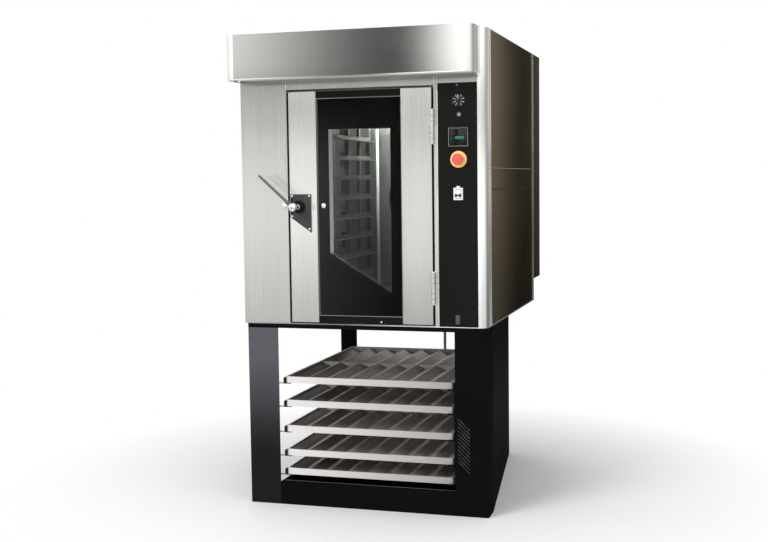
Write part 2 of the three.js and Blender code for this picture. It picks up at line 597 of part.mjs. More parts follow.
function buildCabinet() {
  const cabinet = nested(plan, 0, 0, 0);

  // The front is one sheet with the door opening, its return, and a slot for the latch.
  const face = shapeOf([
    [0, UNDERSIDE], [CONTROL_LEFT - GAP, UNDERSIDE], [CONTROL_LEFT - GAP, CONTROL_TOP + GAP],
    [CONTROL_RIGHT - GAP, CONTROL_TOP + GAP], [CONTROL_RIGHT - GAP, CABINET_TOP], [0, CABINET_TOP],
  ]);
  const latchZ = DOOR_BOTTOM + HANDLE_Z;
  const latchSlot = block(OPENING_LEFT - 2 * SHEET, OPENING_LEFT + PAST,
    LATCH_SETBACK - LATCH_CLEARANCE, LATCH_SETBACK + LATCH_THICKNESS + LATCH_CLEARANCE,
    latchZ - LATCH_DROP, latchZ + latchRise(HANDLE_X + DOOR_SIDE_GAP));
  const front = cut(
    join(facing(face, 0, SHEET),
      sleeve(OPENING_LEFT, OPENING_RIGHT, OPENING_BOTTOM, OPENING_TOP, SHEET, 0, FRAME_RETURN)),
    block(OPENING_LEFT, OPENING_RIGHT, -PAST, FRAME_RETURN + PAST, OPENING_BOTTOM, OPENING_TOP),
    latchSlot);
  place(cabinet, 'front_panel', front, brushedSteel);

  // The control panel is a tray, open at its back, with a signal lamp and a small pull tab.
  const lampX = CONTROL_LEFT + LAMP.x;
  const lampZ = CONTROL_BOTTOM + LAMP.z;
  const tabX = CONTROL_LEFT + TAB.x;
  const tabZ = CONTROL_BOTTOM + TAB.z;
  const panel = join(
    block(CONTROL_LEFT, CONTROL_RIGHT - GAP, -CONTROL_PROUD, SHEET - CONTROL_PROUD,
      CONTROL_BOTTOM, CONTROL_TOP),
    sleeve(CONTROL_LEFT + SHEET, CONTROL_RIGHT - GAP - SHEET,
      CONTROL_BOTTOM + SHEET, CONTROL_TOP - SHEET, SHEET, 0, CONTROL_BOX_DEPTH),
    bar(LAMP.radius, [lampX, -CONTROL_PROUD - LAMP.height, lampZ], [lampX, 0, lampZ]),
    block(tabX - TAB.width / 2, tabX + TAB.width / 2, -CONTROL_PROUD - TAB.thick, 0,
      tabZ - TAB.height / 2, tabZ + TAB.height / 2));
  place(cabinet, 'control_panel', panel, blackPanel);

  // The rounded corner runs the full height and turns back along the side.
  const flat = CABINET_WIDTH - CORNER_RADIUS;
  const trim = new THREE.Shape();
  trim.moveTo(CONTROL_RIGHT, 0);
  trim.lineTo(flat, 0);
  trim.absarc(flat, CORNER_RADIUS, CORNER_RADIUS, -Math.PI / 2, 0);
  trim.lineTo(CABINET_WIDTH, FRONT_FRAME_DEPTH);
  trim.lineTo(CABINET_WIDTH - SHEET, FRONT_FRAME_DEPTH);
  trim.lineTo(CABINET_WIDTH - SHEET, CORNER_RADIUS);
  trim.absarc(flat, CORNER_RADIUS, CORNER_RADIUS - SHEET, 0, -Math.PI / 2, true);
  trim.lineTo(CONTROL_RIGHT, SHEET);
  place(cabinet, 'corner_trim', upright(trim, UNDERSIDE, CABINET_TOP), brushedSteel);

  // Each side is one sheet with two grooves that part it into three fields.
  const seams = [UNDERSIDE + SIDE_SEAM, UNDERSIDE + SIDE_SEAM + SIDE_BAND];
  const side = (x, front, outward) => cut(
    block(x, x + SHEET, front, CABINET_DEPTH, UNDERSIDE, CABINET_TOP),
    ...seams.map((z) => block(x + outward * SHEET / 2, x + SHEET + outward * SHEET / 2,
      0, CABINET_DEPTH + PAST, z, z + SEAM_WIDTH)));
  place(cabinet, 'side_panel_left', side(0, SHEET + GAP, -1), darkSteel);
  place(cabinet, 'side_panel_right',
    side(CABINET_WIDTH - SHEET, FRONT_FRAME_DEPTH + GAP, 1), darkSteel);

  // The roof fits between the sides and lets the flue through.
  const inner = SHEET + GAP;
  const roof = cut(
    upright(roundedPlan(inner, CABINET_WIDTH - inner, inner, BACK_INNER - GAP, inner),
      CABINET_TOP - SHEET, CABINET_TOP),
    bar(FLUE.radius + GAP, [FLUE_X, FLUE_Y, CABINET_TOP - 2 * SHEET],
      [FLUE_X, FLUE_Y, CABINET_TOP + PAST], 24));
  place(cabinet, 'roof_panel', roof, darkSteel);

  // The underside turns up at the rear into the back, where the fan's shaft goes through.
  const fanHole = FAN_SHAFT_RADIUS + 2 * GAP;
  const pipeHole = DRAIN.radius + GAP;
  const underside = cut(
    join(
      block(inner, CABINET_WIDTH - inner, MOUTH_WALL_REAR + GAP, CABINET_DEPTH,
        UNDERSIDE, UNDERSIDE + SHEET),
      block(inner, CABINET_WIDTH - inner, BACK_INNER, CABINET_DEPTH, UNDERSIDE, CABINET_TOP)),
    bar(fanHole, [AXIS_X, BACK_INNER - PAST, AXIS_Z], [AXIS_X, CABINET_DEPTH + PAST, AXIS_Z]),
    bar(pipeHole, [DRAIN_X, DRAIN_Y, UNDERSIDE - PAST], [DRAIN_X, DRAIN_Y, UNDERSIDE + 2 * SHEET]),
    ...heaterHoles(BACK_INNER - PAST, CABINET_DEPTH + PAST));
  place(cabinet, 'underside_and_back', underside, darkSteel);

  // The rear casing is a cover, open to the front, with vents and a gland for the mains lead.
  const wall = SHEET;
  let casing = cut(
    block(0, CABINET_WIDTH, CABINET_DEPTH + GAP, REAR_FACE, REAR_BOTTOM, CABINET_TOP),
    block(wall, CABINET_WIDTH - wall, CABINET_DEPTH - PAST, REAR_FACE - wall,
      REAR_BOTTOM + wall, CABINET_TOP - wall));
  const ventTop = AXIS_Z + (CASING_VENT_COUNT - 1) / 2 * CASING_VENT_PITCH;
  for (let i = 0; i < CASING_VENT_COUNT; i += 1) {
    const z = ventTop - i * CASING_VENT_PITCH;
    casing = cut(casing, block(AXIS_X - CASING_VENT_WIDTH / 2, AXIS_X + CASING_VENT_WIDTH / 2,
      REAR_FACE - 2 * wall, REAR_FACE + PAST, z - CASING_VENT_HEIGHT / 2, z + CASING_VENT_HEIGHT / 2));
  }
  const glandY = CABINET_DEPTH + REAR_CASING_DEPTH / 2;
  casing = cut(
    join(casing, bar(GLAND.radius,
      [GLAND.x, glandY, REAR_BOTTOM - GLAND.height], [GLAND.x, glandY, REAR_BOTTOM + wall / 2], 16)),
    bar(GLAND.bore,
      [GLAND.x, glandY, REAR_BOTTOM - GLAND.height - PAST],
      [GLAND.x, glandY, REAR_BOTTOM + 2 * wall], 16));
  place(cabinet, 'rear_casing', casing, darkSteel);
}

// ---------------------------------------------------------------- hood
function hoodOutline(inset) {
  const left = -HOOD_LEFT_OVERHANG + inset;
  const right = CABINET_WIDTH - HOOD_RIGHT_INSET - inset;
  const front = -HOOD_REACH + inset;
  const radius = HOOD_RADIUS - inset;
  const shape = new THREE.Shape();
  shape.moveTo(left, -GAP);
  shape.lineTo(left, front + radius);
  shape.absarc(left + radius, front + radius, radius, Math.PI, Math.PI * 1.5);
  shape.lineTo(right - radius, front);
  shape.absarc(right - radius, front + radius, radius, Math.PI * 1.5, Math.PI * 2);
  shape.lineTo(right, -GAP);
  return shape;
}

function buildHood() {
  const inside = hoodHollow(HOOD_SHEET, HOOD_BOTTOM - PAST, CABINET_TOP - HOOD_SHEET);
  const mouth = hoodHollow(HOOD_LIP, HOOD_BOTTOM - PAST, HOOD_BOTTOM + HOOD_SHEET);
  const shell = upright(hoodOutline(0), HOOD_BOTTOM, CABINET_TOP);
  const lip = cut(upright(hoodOutline(0), HOOD_BOTTOM, HOOD_BOTTOM + HOOD_SHEET), mouth);
  place(plan, 'hood', join(cut(shell, inside), lip), brushedSteel);
}

// The hood's hollow, open towards the cabinet's front as well.
function hoodHollow(inset, z0, z1) {
  const hollow = upright(hoodOutline(inset), z0, z1);
  const back = block(-HOOD_LEFT_OVERHANG + inset, CABINET_WIDTH - HOOD_RIGHT_INSET - inset,
    -HOOD_SHEET, PAST, z0, z1);
  return join(hollow, back);
}

// ---------------------------------------------------------------- baking chamber
const heaterLegs = () => [-1, 1].map((side) => {
  const angle = THREE.MathUtils.degToRad(-90 + side * (360 - HEATER_ANGLE) / 2);
  return [AXIS_X + HEATER_RADIUS * Math.cos(angle), AXIS_Z + HEATER_RADIUS * Math.sin(angle)];
});

function heaterHoles(y0, y1) {
  return heaterLegs().map(([x, z]) => bar(HEATER_TUBE_RADIUS + GAP, [x, y0, z], [x, y1, z], 12));
}

function buildChamber() {
  const chamber = nested(plan, 0, 0, 0);
  const mouth = {
    x0: OPENING_LEFT + MOUTH_MARGIN, x1: OPENING_RIGHT - MOUTH_MARGIN,
    z0: OPENING_BOTTOM + MOUTH_BOTTOM_MARGIN, z1: OPENING_TOP - MOUTH_TOP_MARGIN,
  };

  // The chamber front: the seat of the door gasket, a neck, and the wall round the mouth.
  const seatY = FRAME_RETURN + GAP;
  const jacketBottom = UNDERSIDE + 2 * SHEET + GAP;
  const jacketTop = CHAMBER_TOP + JACKET_TOP;
  const front = cut(
    join(
      block(OPENING_LEFT - SHEET, OPENING_RIGHT + SHEET, seatY, seatY + SHEET,
        OPENING_BOTTOM - SHEET, OPENING_TOP + SHEET),
      block(mouth.x0 - SHEET, mouth.x1 + SHEET, seatY, MOUTH_WALL_FRONT,
        mouth.z0 - SHEET, mouth.z1 + SHEET),
      block(2 * SHEET, CABINET_WIDTH - 2 * SHEET, MOUTH_WALL_FRONT,
        MOUTH_WALL_REAR, UNDERSIDE, jacketTop)),
    block(mouth.x0, mouth.x1, 0, CHAMBER_FRONT, mouth.z0, mouth.z1));
  place(chamber, 'chamber_front', front, linerSteel);

  // The liner is a box, open at the front, with holes for shafts, flue, heater and drain.
  const wall = LINER_SHEET;
  const linerFront = MOUTH_WALL_REAR + GAP;
  const rotorHole = ROTOR_SHAFT_RADIUS + ROTOR_CLEARANCE;
  const fanHole = FAN_SHAFT_RADIUS + 2 * GAP;
  const through = {
    rotor: (z0, z1) => bar(rotorHole, [AXIS_X, AXIS_Y, z0], [AXIS_X, AXIS_Y, z1], 24),
    flue: (radius, z0, z1) => bar(radius, [FLUE_X, FLUE_Y, z0], [FLUE_X, FLUE_Y, z1], 24),
    fan: (y0, y1) => bar(fanHole, [AXIS_X, y0, AXIS_Z], [AXIS_X, y1, AXIS_Z]),
    drain: (z0, z1) => bar(DRAIN.radius + GAP, [DRAIN_X, DRAIN_Y, z0], [DRAIN_X, DRAIN_Y, z1]),
  };
  const liner = cut(
    block(CHAMBER_LEFT - wall, CHAMBER_RIGHT + wall, linerFront, DUCT_REAR + wall,
      CHAMBER_FLOOR - wall, CHAMBER_TOP + wall),
    block(CHAMBER_LEFT, CHAMBER_RIGHT, 0, DUCT_REAR, CHAMBER_FLOOR, CHAMBER_TOP),
    through.rotor(CHAMBER_TOP - PAST, CHAMBER_TOP + wall + PAST),
    through.flue(FLUE.radius - FLUE.wall, CHAMBER_TOP - PAST, CHAMBER_TOP + wall + PAST),
    through.fan(DUCT_REAR - PAST, DUCT_REAR + wall + PAST),
    through.drain(CHAMBER_FLOOR - wall - PAST, CHAMBER_FLOOR + PAST),
    ...heaterHoles(DUCT_REAR - PAST, DUCT_REAR + wall + PAST));
  place(chamber, 'chamber_liner', liner, linerSteel);

  // Mineral wool wraps the liner on all sides but its front.
  const jacket = cut(
    block(SHEET + JACKET_MARGIN, CABINET_WIDTH - SHEET - JACKET_MARGIN,
      linerFront, BACK_INNER - JACKET_MARGIN, jacketBottom, jacketTop),
    block(CHAMBER_LEFT - wall - GAP, CHAMBER_RIGHT + wall + GAP, 0, DUCT_REAR + wall + GAP,
      CHAMBER_FLOOR - wall - GAP, CHAMBER_TOP + wall + GAP),
    through.rotor(CHAMBER_TOP, jacketTop + PAST),
    through.flue(FLUE.radius + GAP, CHAMBER_TOP, jacketTop + PAST),
    through.fan(DUCT_REAR, BACK_INNER),
    through.drain(jacketBottom - PAST, CHAMBER_FLOOR),
    ...heaterHoles(DUCT_REAR, BACK_INNER));
  place(chamber, 'insulation_jacket', jacket, wool);

  // The air wall parts the fan space from the chamber: a round inlet and two rows of outlets.
  let airWall = cut(
    block(CHAMBER_LEFT + GAP, CHAMBER_RIGHT - GAP, CHAMBER_REAR, CHAMBER_REAR + wall,
      CHAMBER_FLOOR + GAP, CHAMBER_TOP - GAP),
    bar(INLET_RADIUS, [AXIS_X, CHAMBER_REAR - PAST, AXIS_Z],
      [AXIS_X, CHAMBER_REAR + wall + PAST, AXIS_Z], 28));
  for (let i = 0; i < LOUVRE_COUNT; i += 1) {
    const z = AXIS_Z + (i - (LOUVRE_COUNT - 1) / 2) * LOUVRE_PITCH;
    [CHAMBER_LEFT + LOUVRE_INSET, CHAMBER_RIGHT - LOUVRE_INSET - LOUVRE_WIDTH].forEach((x) => {
      airWall = cut(airWall, block(x, x + LOUVRE_WIDTH,
        CHAMBER_REAR - PAST, CHAMBER_REAR + wall + PAST,
        z - LOUVRE_HEIGHT / 2, z + LOUVRE_HEIGHT / 2));
    });
  }
  place(chamber, 'air_wall', airWall, linerSteel);

  // The door gasket is a square section seal on the chamber front.
  const g = GASKET_INSET;
  const gasket = frontFrame(DOOR_LEFT + g, DOOR_LEFT + DOOR_WIDTH - g, DOOR_BOTTOM + g,
    DOOR_BOTTOM + DOOR_HEIGHT - g, GASKET_WIDTH, FRAME_RETURN - GASKET_THICKNESS, FRAME_RETURN);
  place(chamber, 'door_gasket', gasket, seal);
  return { jacketTop };
}

// ---------------------------------------------------------------- rotating rack and its drive
function buildRotor(jacketTop) {
  const rotor = nested(plan, AXIS_X, AXIS_Y, CHAMBER_FLOOR);
  const halfWidth = RACK_TRAY_WIDTH / 2 + GAP;
  const halfLength = RACK_TRAY_LENGTH / 2;
  const outer = halfWidth + RACK_TUBE;

  // A ladder is three uprights and a ledge for every level.
  const ladder = (side) => {
    const x0 = side < 0 ? -outer : halfWidth;
    const x1 = side < 0 ? -halfWidth : outer;
    const ledgeIn = side < 0 ? -halfWidth + RACK_LEDGE : halfWidth - RACK_LEDGE;
    const uprights = [-halfLength, -RACK_TUBE / 2, halfLength - RACK_TUBE].map((y) =>
      block(x0, x1, y, y + RACK_TUBE, RACK_FLOOR_GAP + RACK_TUBE + GAP, RACK_TOP - RACK_TUBE - GAP));
    const ledges = Array.from({ length: RACK_LEVELS }, (_, i) => {
      const z = RACK_FIRST_LEVEL + i * RACK_PITCH;
      const edge = side < 0
        ? [-halfWidth - RACK_SHEET, -halfWidth]
        : [halfWidth, halfWidth + RACK_SHEET];
      return join(
        block(Math.min(edge[0], ledgeIn), Math.max(edge[1], ledgeIn),
          -halfLength, halfLength, z - RACK_SHEET, z),
        block(edge[0], edge[1], -halfLength, halfLength, z - RACK_SHEET, z + RACK_LEDGE_HEIGHT));
    });
    return join(...uprights, ...ledges);
  };
  place(rotor, 'rack_ladder_left', ladder(-1), rackSteel);
  place(rotor, 'rack_ladder_right', ladder(1), rackSteel);

  // A frame under the ladders and a frame over them; the upper one hangs from the shaft.
  const frame = (z0) => join(
    cut(block(-outer, outer, -halfLength, halfLength, z0, z0 + RACK_TUBE),
      block(-outer + RACK_TUBE, outer - RACK_TUBE,
        -halfLength + RACK_TUBE, halfLength - RACK_TUBE, z0 - PAST, z0 + RACK_TUBE + PAST)),
    block(-outer, outer, -RACK_TUBE, RACK_TUBE, z0, z0 + RACK_TUBE));
  place(rotor, 'rack_bottom_frame', frame(RACK_FLOOR_GAP), rackSteel);
  const shaftTop = jacketTop - CHAMBER_FLOOR + GAP + SHAFT_IN_GEARBOX;
  const hanger = join(frame(RACK_TOP - RACK_TUBE),
    bar(ROTOR_SHAFT_RADIUS, [0, 0, RACK_TOP - RACK_TUBE], [0, 0, shaftTop], 24),
    bar(2 * ROTOR_SHAFT_RADIUS, [0, 0, RACK_TOP - RACK_TUBE], [0, 0, RACK_TOP + RACK_TUBE / 2], 24));
  place(rotor, 'rack_hanger', hanger, rackSteel);

  // The gear motor stands on the insulation, over the shaft.
  const drive = nested(plan, AXIS_X, AXIS_Y, jacketTop + GAP);
  const box = GEARBOX;
  const motorZ = box.flange + box.height / 2 + DRIVE_MOTOR_LIFT;
  const bore = ROTOR_SHAFT_RADIUS + GAP;
  const margin = box.flangeMargin;
  const gearMotor = cut(
    join(
      block(-box.width / 2 - margin, box.width / 2 + margin,
        -box.depth / 2 - margin, box.depth / 2 + margin, 0, box.flange),
      block(-box.width / 2, box.width / 2, -box.depth / 2, box.depth / 2,
        box.flange / 2, box.flange + box.height),
      bar(DRIVE_MOTOR_RADIUS, [0, 0, motorZ],
        [-box.width / 2 - DRIVE_MOTOR_LENGTH, 0, motorZ], 20)),
    bar(bore, [0, 0, -PAST], [0, 0, SHAFT_IN_GEARBOX + GAP], 24));
  place(drive, 'gear_motor', gearMotor, motorGrey);
}

// ---------------------------------------------------------------- fan, heater and steam
function buildAirSystem() {
  const fanY = CHAMBER_REAR + LINER_SHEET + FAN_FRONT_GAP;
  const fan = nested(plan, AXIS_X, fanY, AXIS_Z);
  const blades = Array.from({ length: FAN_BLADES }, (_, i) => {
    const angle = (i / FAN_BLADES) * 2 * Math.PI;
    const blade = new THREE.BoxGeometry(FAN_BLADE_LENGTH, FAN_DEPTH, FAN_PLATE);
    blade.translate(FAN_RADIUS - FAN_BLADE_LENGTH / 2, FAN_DEPTH / 2, 0);
    blade.rotateY(angle);
    return toSolid(blade);
  });
  const shaftEnd = CABINET_DEPTH + GAP + FAN_SHAFT_IN_MOTOR - fanY;
  const wheel = join(
    bar(FAN_RADIUS, [0, FAN_DEPTH - FAN_PLATE, 0], [0, FAN_DEPTH, 0], 30),
    bar(FAN_HUB_RADIUS, [0, FAN_DEPTH - FAN_HUB_LENGTH, 0], [0, FAN_DEPTH, 0]),
    bar(FAN_SHAFT_RADIUS, [0, 0, 0], [0, shaftEnd, 0]),
    ...blades);
  place(fan, 'fan_wheel', wheel, linerSteel);

  // The fan motor hangs on the back panel inside the rear casing.
  const motor = cut(
    join(
      bar(FAN_MOTOR_RADIUS, [0, 0, 0], [0, FAN_MOTOR_LENGTH, 0], 24),
      bar(FAN_MOTOR_FLANGE.radius, [0, 0, 0], [0, FAN_MOTOR_FLANGE.thick, 0], 24)),
    bar(FAN_SHAFT_RADIUS + GAP, [0, -PAST, 0], [0, FAN_SHAFT_IN_MOTOR + GAP, 0]));
  place(plan, 'fan_motor', motor, motorGrey, [AXIS_X, CABINET_DEPTH + GAP, AXIS_Z]);

  // The heater is one tube round the fan whose two ends go out through the back.
  const heaterY = CHAMBER_REAR + LINER_SHEET + HEATER_SETBACK;
  class HeaterArc extends THREE.Curve {
    getPoint(t, target = new THREE.Vector3()) {
      const start = -90 + (360 - HEATER_ANGLE) / 2;
      const angle = THREE.MathUtils.degToRad(start + t * HEATER_ANGLE);
      return target.set(HEATER_RADIUS * Math.cos(angle), 0, HEATER_RADIUS * Math.sin(angle));
    }
  }
  const section = new THREE.Shape();
  section.absarc(0, 0, HEATER_TUBE_RADIUS, 0, 2 * Math.PI);
  const arc = new THREE.ExtrudeGeometry(section,
    { extrudePath: new HeaterArc(), steps: 36, curveSegments: 3, bevelEnabled: false });
  arc.translate(AXIS_X, heaterY, AXIS_Z);
  const legs = heaterLegs().map(([x, z]) =>
    bar(HEATER_TUBE_RADIUS, [x, heaterY - HEATER_TUBE_RADIUS, z],
      [x, CABINET_DEPTH + HEATER_TERMINAL, z], 12));
  place(plan, 'heater_element', join(toSolid(arc), ...legs), heaterMetal);

  // Water falls over the steam maker's ledges beside the fan.
  const back = DUCT_REAR - GAP;
  const x0 = CHAMBER_LEFT + GAP;
  const ledges = Array.from({ length: STEAM_STEPS }, (_, i) => {
    const z = CHAMBER_FLOOR + (i + 1) * STEAM_PITCH;
    return join(
      block(x0, x0 + STEAM_WIDTH, back - STEAM_LEDGE, back, z - STEAM_SHEET, z),
      block(x0, x0 + STEAM_WIDTH, back - STEAM_LEDGE, back - STEAM_LEDGE + STEAM_SHEET,
        z - STEAM_SHEET, z - STEAM_SHEET + STEAM_LIP));
  });
  const steam = join(
    block(x0, x0 + STEAM_WIDTH, back - STEAM_SHEET, back,
      CHAMBER_FLOOR + GAP, CHAMBER_FLOOR + STEAM_STEPS * STEAM_PITCH + STEAM_PITCH / 2),
    ...ledges);
  place(plan, 'steam_maker', steam, heaterMetal);
}

// ---------------------------------------------------------------- flue and drain
function buildFlueAndDrain() {
  const flue = nested(plan, FLUE_X, FLUE_Y, FLUE_TOP);
  const bottom = CHAMBER_TOP + LINER_SHEET + GAP - FLUE_TOP;
  const inner = FLUE.radius - FLUE.wall;
  const spindleHole = DAMPER_SPINDLE_RADIUS + GAP;
  const collar = cut(
    bar(FLUE.radius, [0, 0, bottom], [0, 0, 0], 24),
    bar(inner, [0, 0, bottom - PAST], [0, 0, PAST], 24),
    bar(spindleHole, [-FLUE.radius - PAST, 0, -DAMPER_DROP],
      [FLUE.radius + PAST, 0, -DAMPER_DROP], 12));
  place(flue, 'flue_collar', collar, linerSteel);

  // At rest the damper plate stands upright, open.
  const leverX = FLUE.radius + DAMPER_LEVER.offset - DAMPER_LEVER.thick / 2;
  const leverEnd = leverX + DAMPER_LEVER.thick;
  const damper = join(
    bar(inner - DAMPER_CLEARANCE, [0, -DAMPER_THICKNESS / 2, -DAMPER_DROP],
      [0, DAMPER_THICKNESS / 2, -DAMPER_DROP], 24),
    bar(DAMPER_SPINDLE_RADIUS, [-FLUE.radius - DAMPER_SPINDLE_END, 0, -DAMPER_DROP],
      [leverEnd, 0, -DAMPER_DROP], 12),
    block(leverX, leverEnd, -DAMPER_SPINDLE_RADIUS, DAMPER_SPINDLE_RADIUS,
      -DAMPER_DROP, -DAMPER_DROP + DAMPER_LEVER.length));
  place(flue, 'flue_damper', damper, linerSteel);

  const top = CHAMBER_FLOOR + GAP;
  const pipe = cut(
    join(bar(DRAIN.radius, [0, 0, DRAIN.end], [0, 0, top], 12),
      bar(DRAIN.flange, [0, 0, top], [0, 0, top + DRAIN.flangeThick], 16)),
    bar(DRAIN.radius - DRAIN.wall, [0, 0, DRAIN.end - PAST],
      [0, 0, top + DRAIN.flangeThick + PAST], 12));
  place(plan, 'drain_pipe', pipe, brightSteel, [DRAIN_X, DRAIN_Y, 0]);
}

// ---------------------------------------------------------------- door
function buildDoor() {
  const door = nested(plan, DOOR_LEFT, DOOR_SETBACK, DOOR_BOTTOM);
  const back = DOOR_THICKNESS;
  const skinFront = DOOR_SHEET + GAP;
  const glassRight = DOOR_WIDTH - RIGHT_STRIP_WIDTH - GAP;
  const glassLeft = LEFT_STRIP_WIDTH + GLASS_EDGE_GAP;
  const glassTop = DOOR_HEIGHT - GLASS_TOP_MARGIN;
  const port = {
    x0: WINDOW_LEFT - PORT_MARGIN, x1: WINDOW_RIGHT + PORT_MARGIN,
    z0: WINDOW_RIGHT_BOTTOM - PORT_MARGIN, z1: WINDOW_TOP + PORT_MARGIN,
  };
  const portHole = block(port.x0, port.x1, -PAST, back + PAST, port.z0, port.z1);
  const spindleHole = bar(SPINDLE_RADIUS + SKIN_HOLE_CLEARANCE,
    [HANDLE_X, -PAST, HANDLE_Z], [HANDLE_X, back / 2, HANDLE_Z]);

  // The black outer pan of the door: its front, its sides and two raised bands.
  const liningFront = back - DOOR_SHEET;
  const shell = cut(
    block(0, DOOR_WIDTH, skinFront, liningFront - GAP, 0, DOOR_HEIGHT),
    block(DOOR_SHEET, DOOR_WIDTH - DOOR_SHEET, skinFront + DOOR_SHEET, back,
      DOOR_SHEET, DOOR_HEIGHT - DOOR_SHEET));
  const bandLeft = LEFT_STRIP_WIDTH + GAP;
  const bands = join(
    block(bandLeft, glassRight, 0, skinFront + DOOR_SHEET / 2, 0, GLASS_BOTTOM_MARGIN - GAP),
    block(bandLeft, glassRight, 0, skinFront + DOOR_SHEET / 2, glassTop + GAP, DOOR_HEIGHT));
  const latchSlot = block(-PAST, 2 * DOOR_SHEET, LATCH_SETBACK - DOOR_SETBACK - LATCH_CLEARANCE,
    LATCH_SETBACK - DOOR_SETBACK + LATCH_THICKNESS + LATCH_CLEARANCE,
    HANDLE_Z - LATCH_DROP, HANDLE_Z + latchRise(HANDLE_X - DOOR_SHEET));
  place(door, 'door_skin', cut(join(shell, bands), portHole, spindleHole, latchSlot), blackPanel);

  // Steel strips cover the pan on both sides of the glass.
  const leftStrip = cut(block(0, LEFT_STRIP_WIDTH, 0, DOOR_SHEET, 0, DOOR_HEIGHT), spindleHole);
  place(door, 'door_left_strip', leftStrip, brushedSteel);
  const rightStrip = block(DOOR_WIDTH - RIGHT_STRIP_WIDTH, DOOR_WIDTH, 0, DOOR_SHEET, 0, DOOR_HEIGHT);
  place(door, 'door_right_strip', rightStrip, brushedSteel);

  // The lining closes the door towards the chamber and carries the inner pane in a tunnel.
  const lining = cut(
    join(block(0, DOOR_WIDTH, liningFront, back, 0, DOOR_HEIGHT),
      block(port.x0 - DOOR_SHEET, port.x1 + DOOR_SHEET, skinFront + DOOR_SHEET + GAP, back,
        port.z0 - DOOR_SHEET, port.z1 + DOOR_SHEET)),
    portHole);
  place(door, 'door_lining', lining, linerSteel);
  const pane = block(port.x0 + GAP, port.x1 - GAP, INNER_GLASS_INSET,
    INNER_GLASS_INSET + GLASS_THICKNESS, port.z0 + GAP, port.z1 - GAP);
  place(door, 'inner_glass', pane, clearGlass);

  // The outer glass swings on its right edge; a black mask behind it leaves a slanted window.
  const glassFront = -GLASS_PROUD - DOOR_SETBACK;
  const glassBack = glassFront + GLASS_THICKNESS;
  place(door, 'outer_glass',
    block(glassLeft, glassRight, glassFront, glassBack, GLASS_BOTTOM_MARGIN, glassTop), clearGlass);
  const window = shapeOf([
    [WINDOW_LEFT, WINDOW_LEFT_BOTTOM], [WINDOW_RIGHT, WINDOW_RIGHT_BOTTOM],
    [WINDOW_RIGHT, WINDOW_TOP], [WINDOW_LEFT, WINDOW_TOP],
  ]);
  const maskFront = glassBack + GAP;
  const mask = cut(
    block(glassLeft, glassRight, maskFront, maskFront + MASK_THICKNESS, GLASS_BOTTOM_MARGIN, glassTop),
    facing(window, maskFront - PAST, maskFront + MASK_THICKNESS + PAST));
  place(door, 'glass_mask', mask, blackPanel);
  const k = GLASS_KNOB;
  const knob = turned([[0, 0], [k.radius, 0], [k.radius, k.shoulder],
    [k.crownRadius, k.crown], [0, k.height]], 20);
  place(door, 'glass_knob', knob, brightSteel,
    [glassLeft + GLASS_KNOB_INSET, glassFront - GAP, GLASS_KNOB_Z]);

  buildHandle(door);
  buildHinge('top', OPENING_TOP - TOP_HINGE.drop, TOP_HINGE.length);
  buildHinge('bottom', OPENING_BOTTOM + BOTTOM_HINGE.lift, BOTTOM_HINGE.length);
}

// The lever turns a spindle whose tongue swings out behind the frame.
function buildHandle(door) {
  const p = HANDLE_PLATE;
  const plateBack = -GAP;
  const plateFront = plateBack - p.thick;
  const bossFront = plateFront - BOSS_HEIGHT;
  const outline = shapeOf([
    [p.left, p.leftBottom], [p.right, p.rightBottom], [p.right, p.top], [p.left, p.top]]);
  const inset = 2 * PLATE_SCREW_RADIUS;
  const slope = (p.leftBottom - p.rightBottom) / (p.right - p.left);
  const screws = [
    [p.left + inset, p.top - inset], [p.right - inset, p.top - inset],
    [p.left + inset, p.leftBottom + inset * (1 - slope) + PLATE_SCREW_LIFT],
    [p.right - inset, p.rightBottom + inset * (1 + slope) + PLATE_SCREW_LIFT],
  ].map(([x, z]) =>
    bar(PLATE_SCREW_RADIUS, [x, plateFront - PLATE_SCREW_HEIGHT, z], [x, plateBack, z], 10));
  const plate = cut(
    join(facing(outline, plateFront, plateBack),
      bar(BOSS_RADIUS, [HANDLE_X, bossFront, HANDLE_Z], [HANDLE_X, plateBack, HANDLE_Z], 24),
      ...screws),
    bar(SPINDLE_RADIUS + SPINDLE_CLEARANCE,
      [HANDLE_X, bossFront - PAST, HANDLE_Z], [HANDLE_X, PAST, HANDLE_Z]));
  place(door, 'handle_plate', plate, plateGrey);

  const lever = nested(door, HANDLE_X, -DOOR_SETBACK, HANDLE_Z);
  const spindleEnd = LATCH_SETBACK + LATCH_THICKNESS + SPINDLE_TAIL;
  const spindle = join(
    bar(SPINDLE_RADIUS, [0, -SPINDLE_REACH, 0], [0, spindleEnd, 0]),
    bar(CLAMP_RADIUS, [0, -SPINDLE_REACH, 0], [0, -SPINDLE_REACH + CLAMP_LENGTH, 0], 24),
    block(-LATCH_WIDTH / 2, LATCH_WIDTH / 2, LATCH_SETBACK, LATCH_SETBACK + LATCH_THICKNESS,
      0, LATCH_RADIUS));
  place(lever, 'handle_spindle', spindle, brightSteel);
  const rodY = -SPINDLE_REACH + CLAMP_LENGTH / 2;
  const angle = THREE.MathUtils.degToRad(LEVER_ANGLE);
  const reach = (distance) => [distance * Math.cos(angle), rodY, distance * Math.sin(angle)];
  const rod = join(
    bar(LEVER_RADIUS, reach(CLAMP_RADIUS + GAP), reach(LEVER_LENGTH - LEVER_RADIUS), 12),
    bar(LEVER_TIP_RADIUS, reach(CLAMP_RADIUS + GAP), reach(LEVER_LENGTH), 12));
  place(lever, 'handle_lever', rod, brightSteel);
}

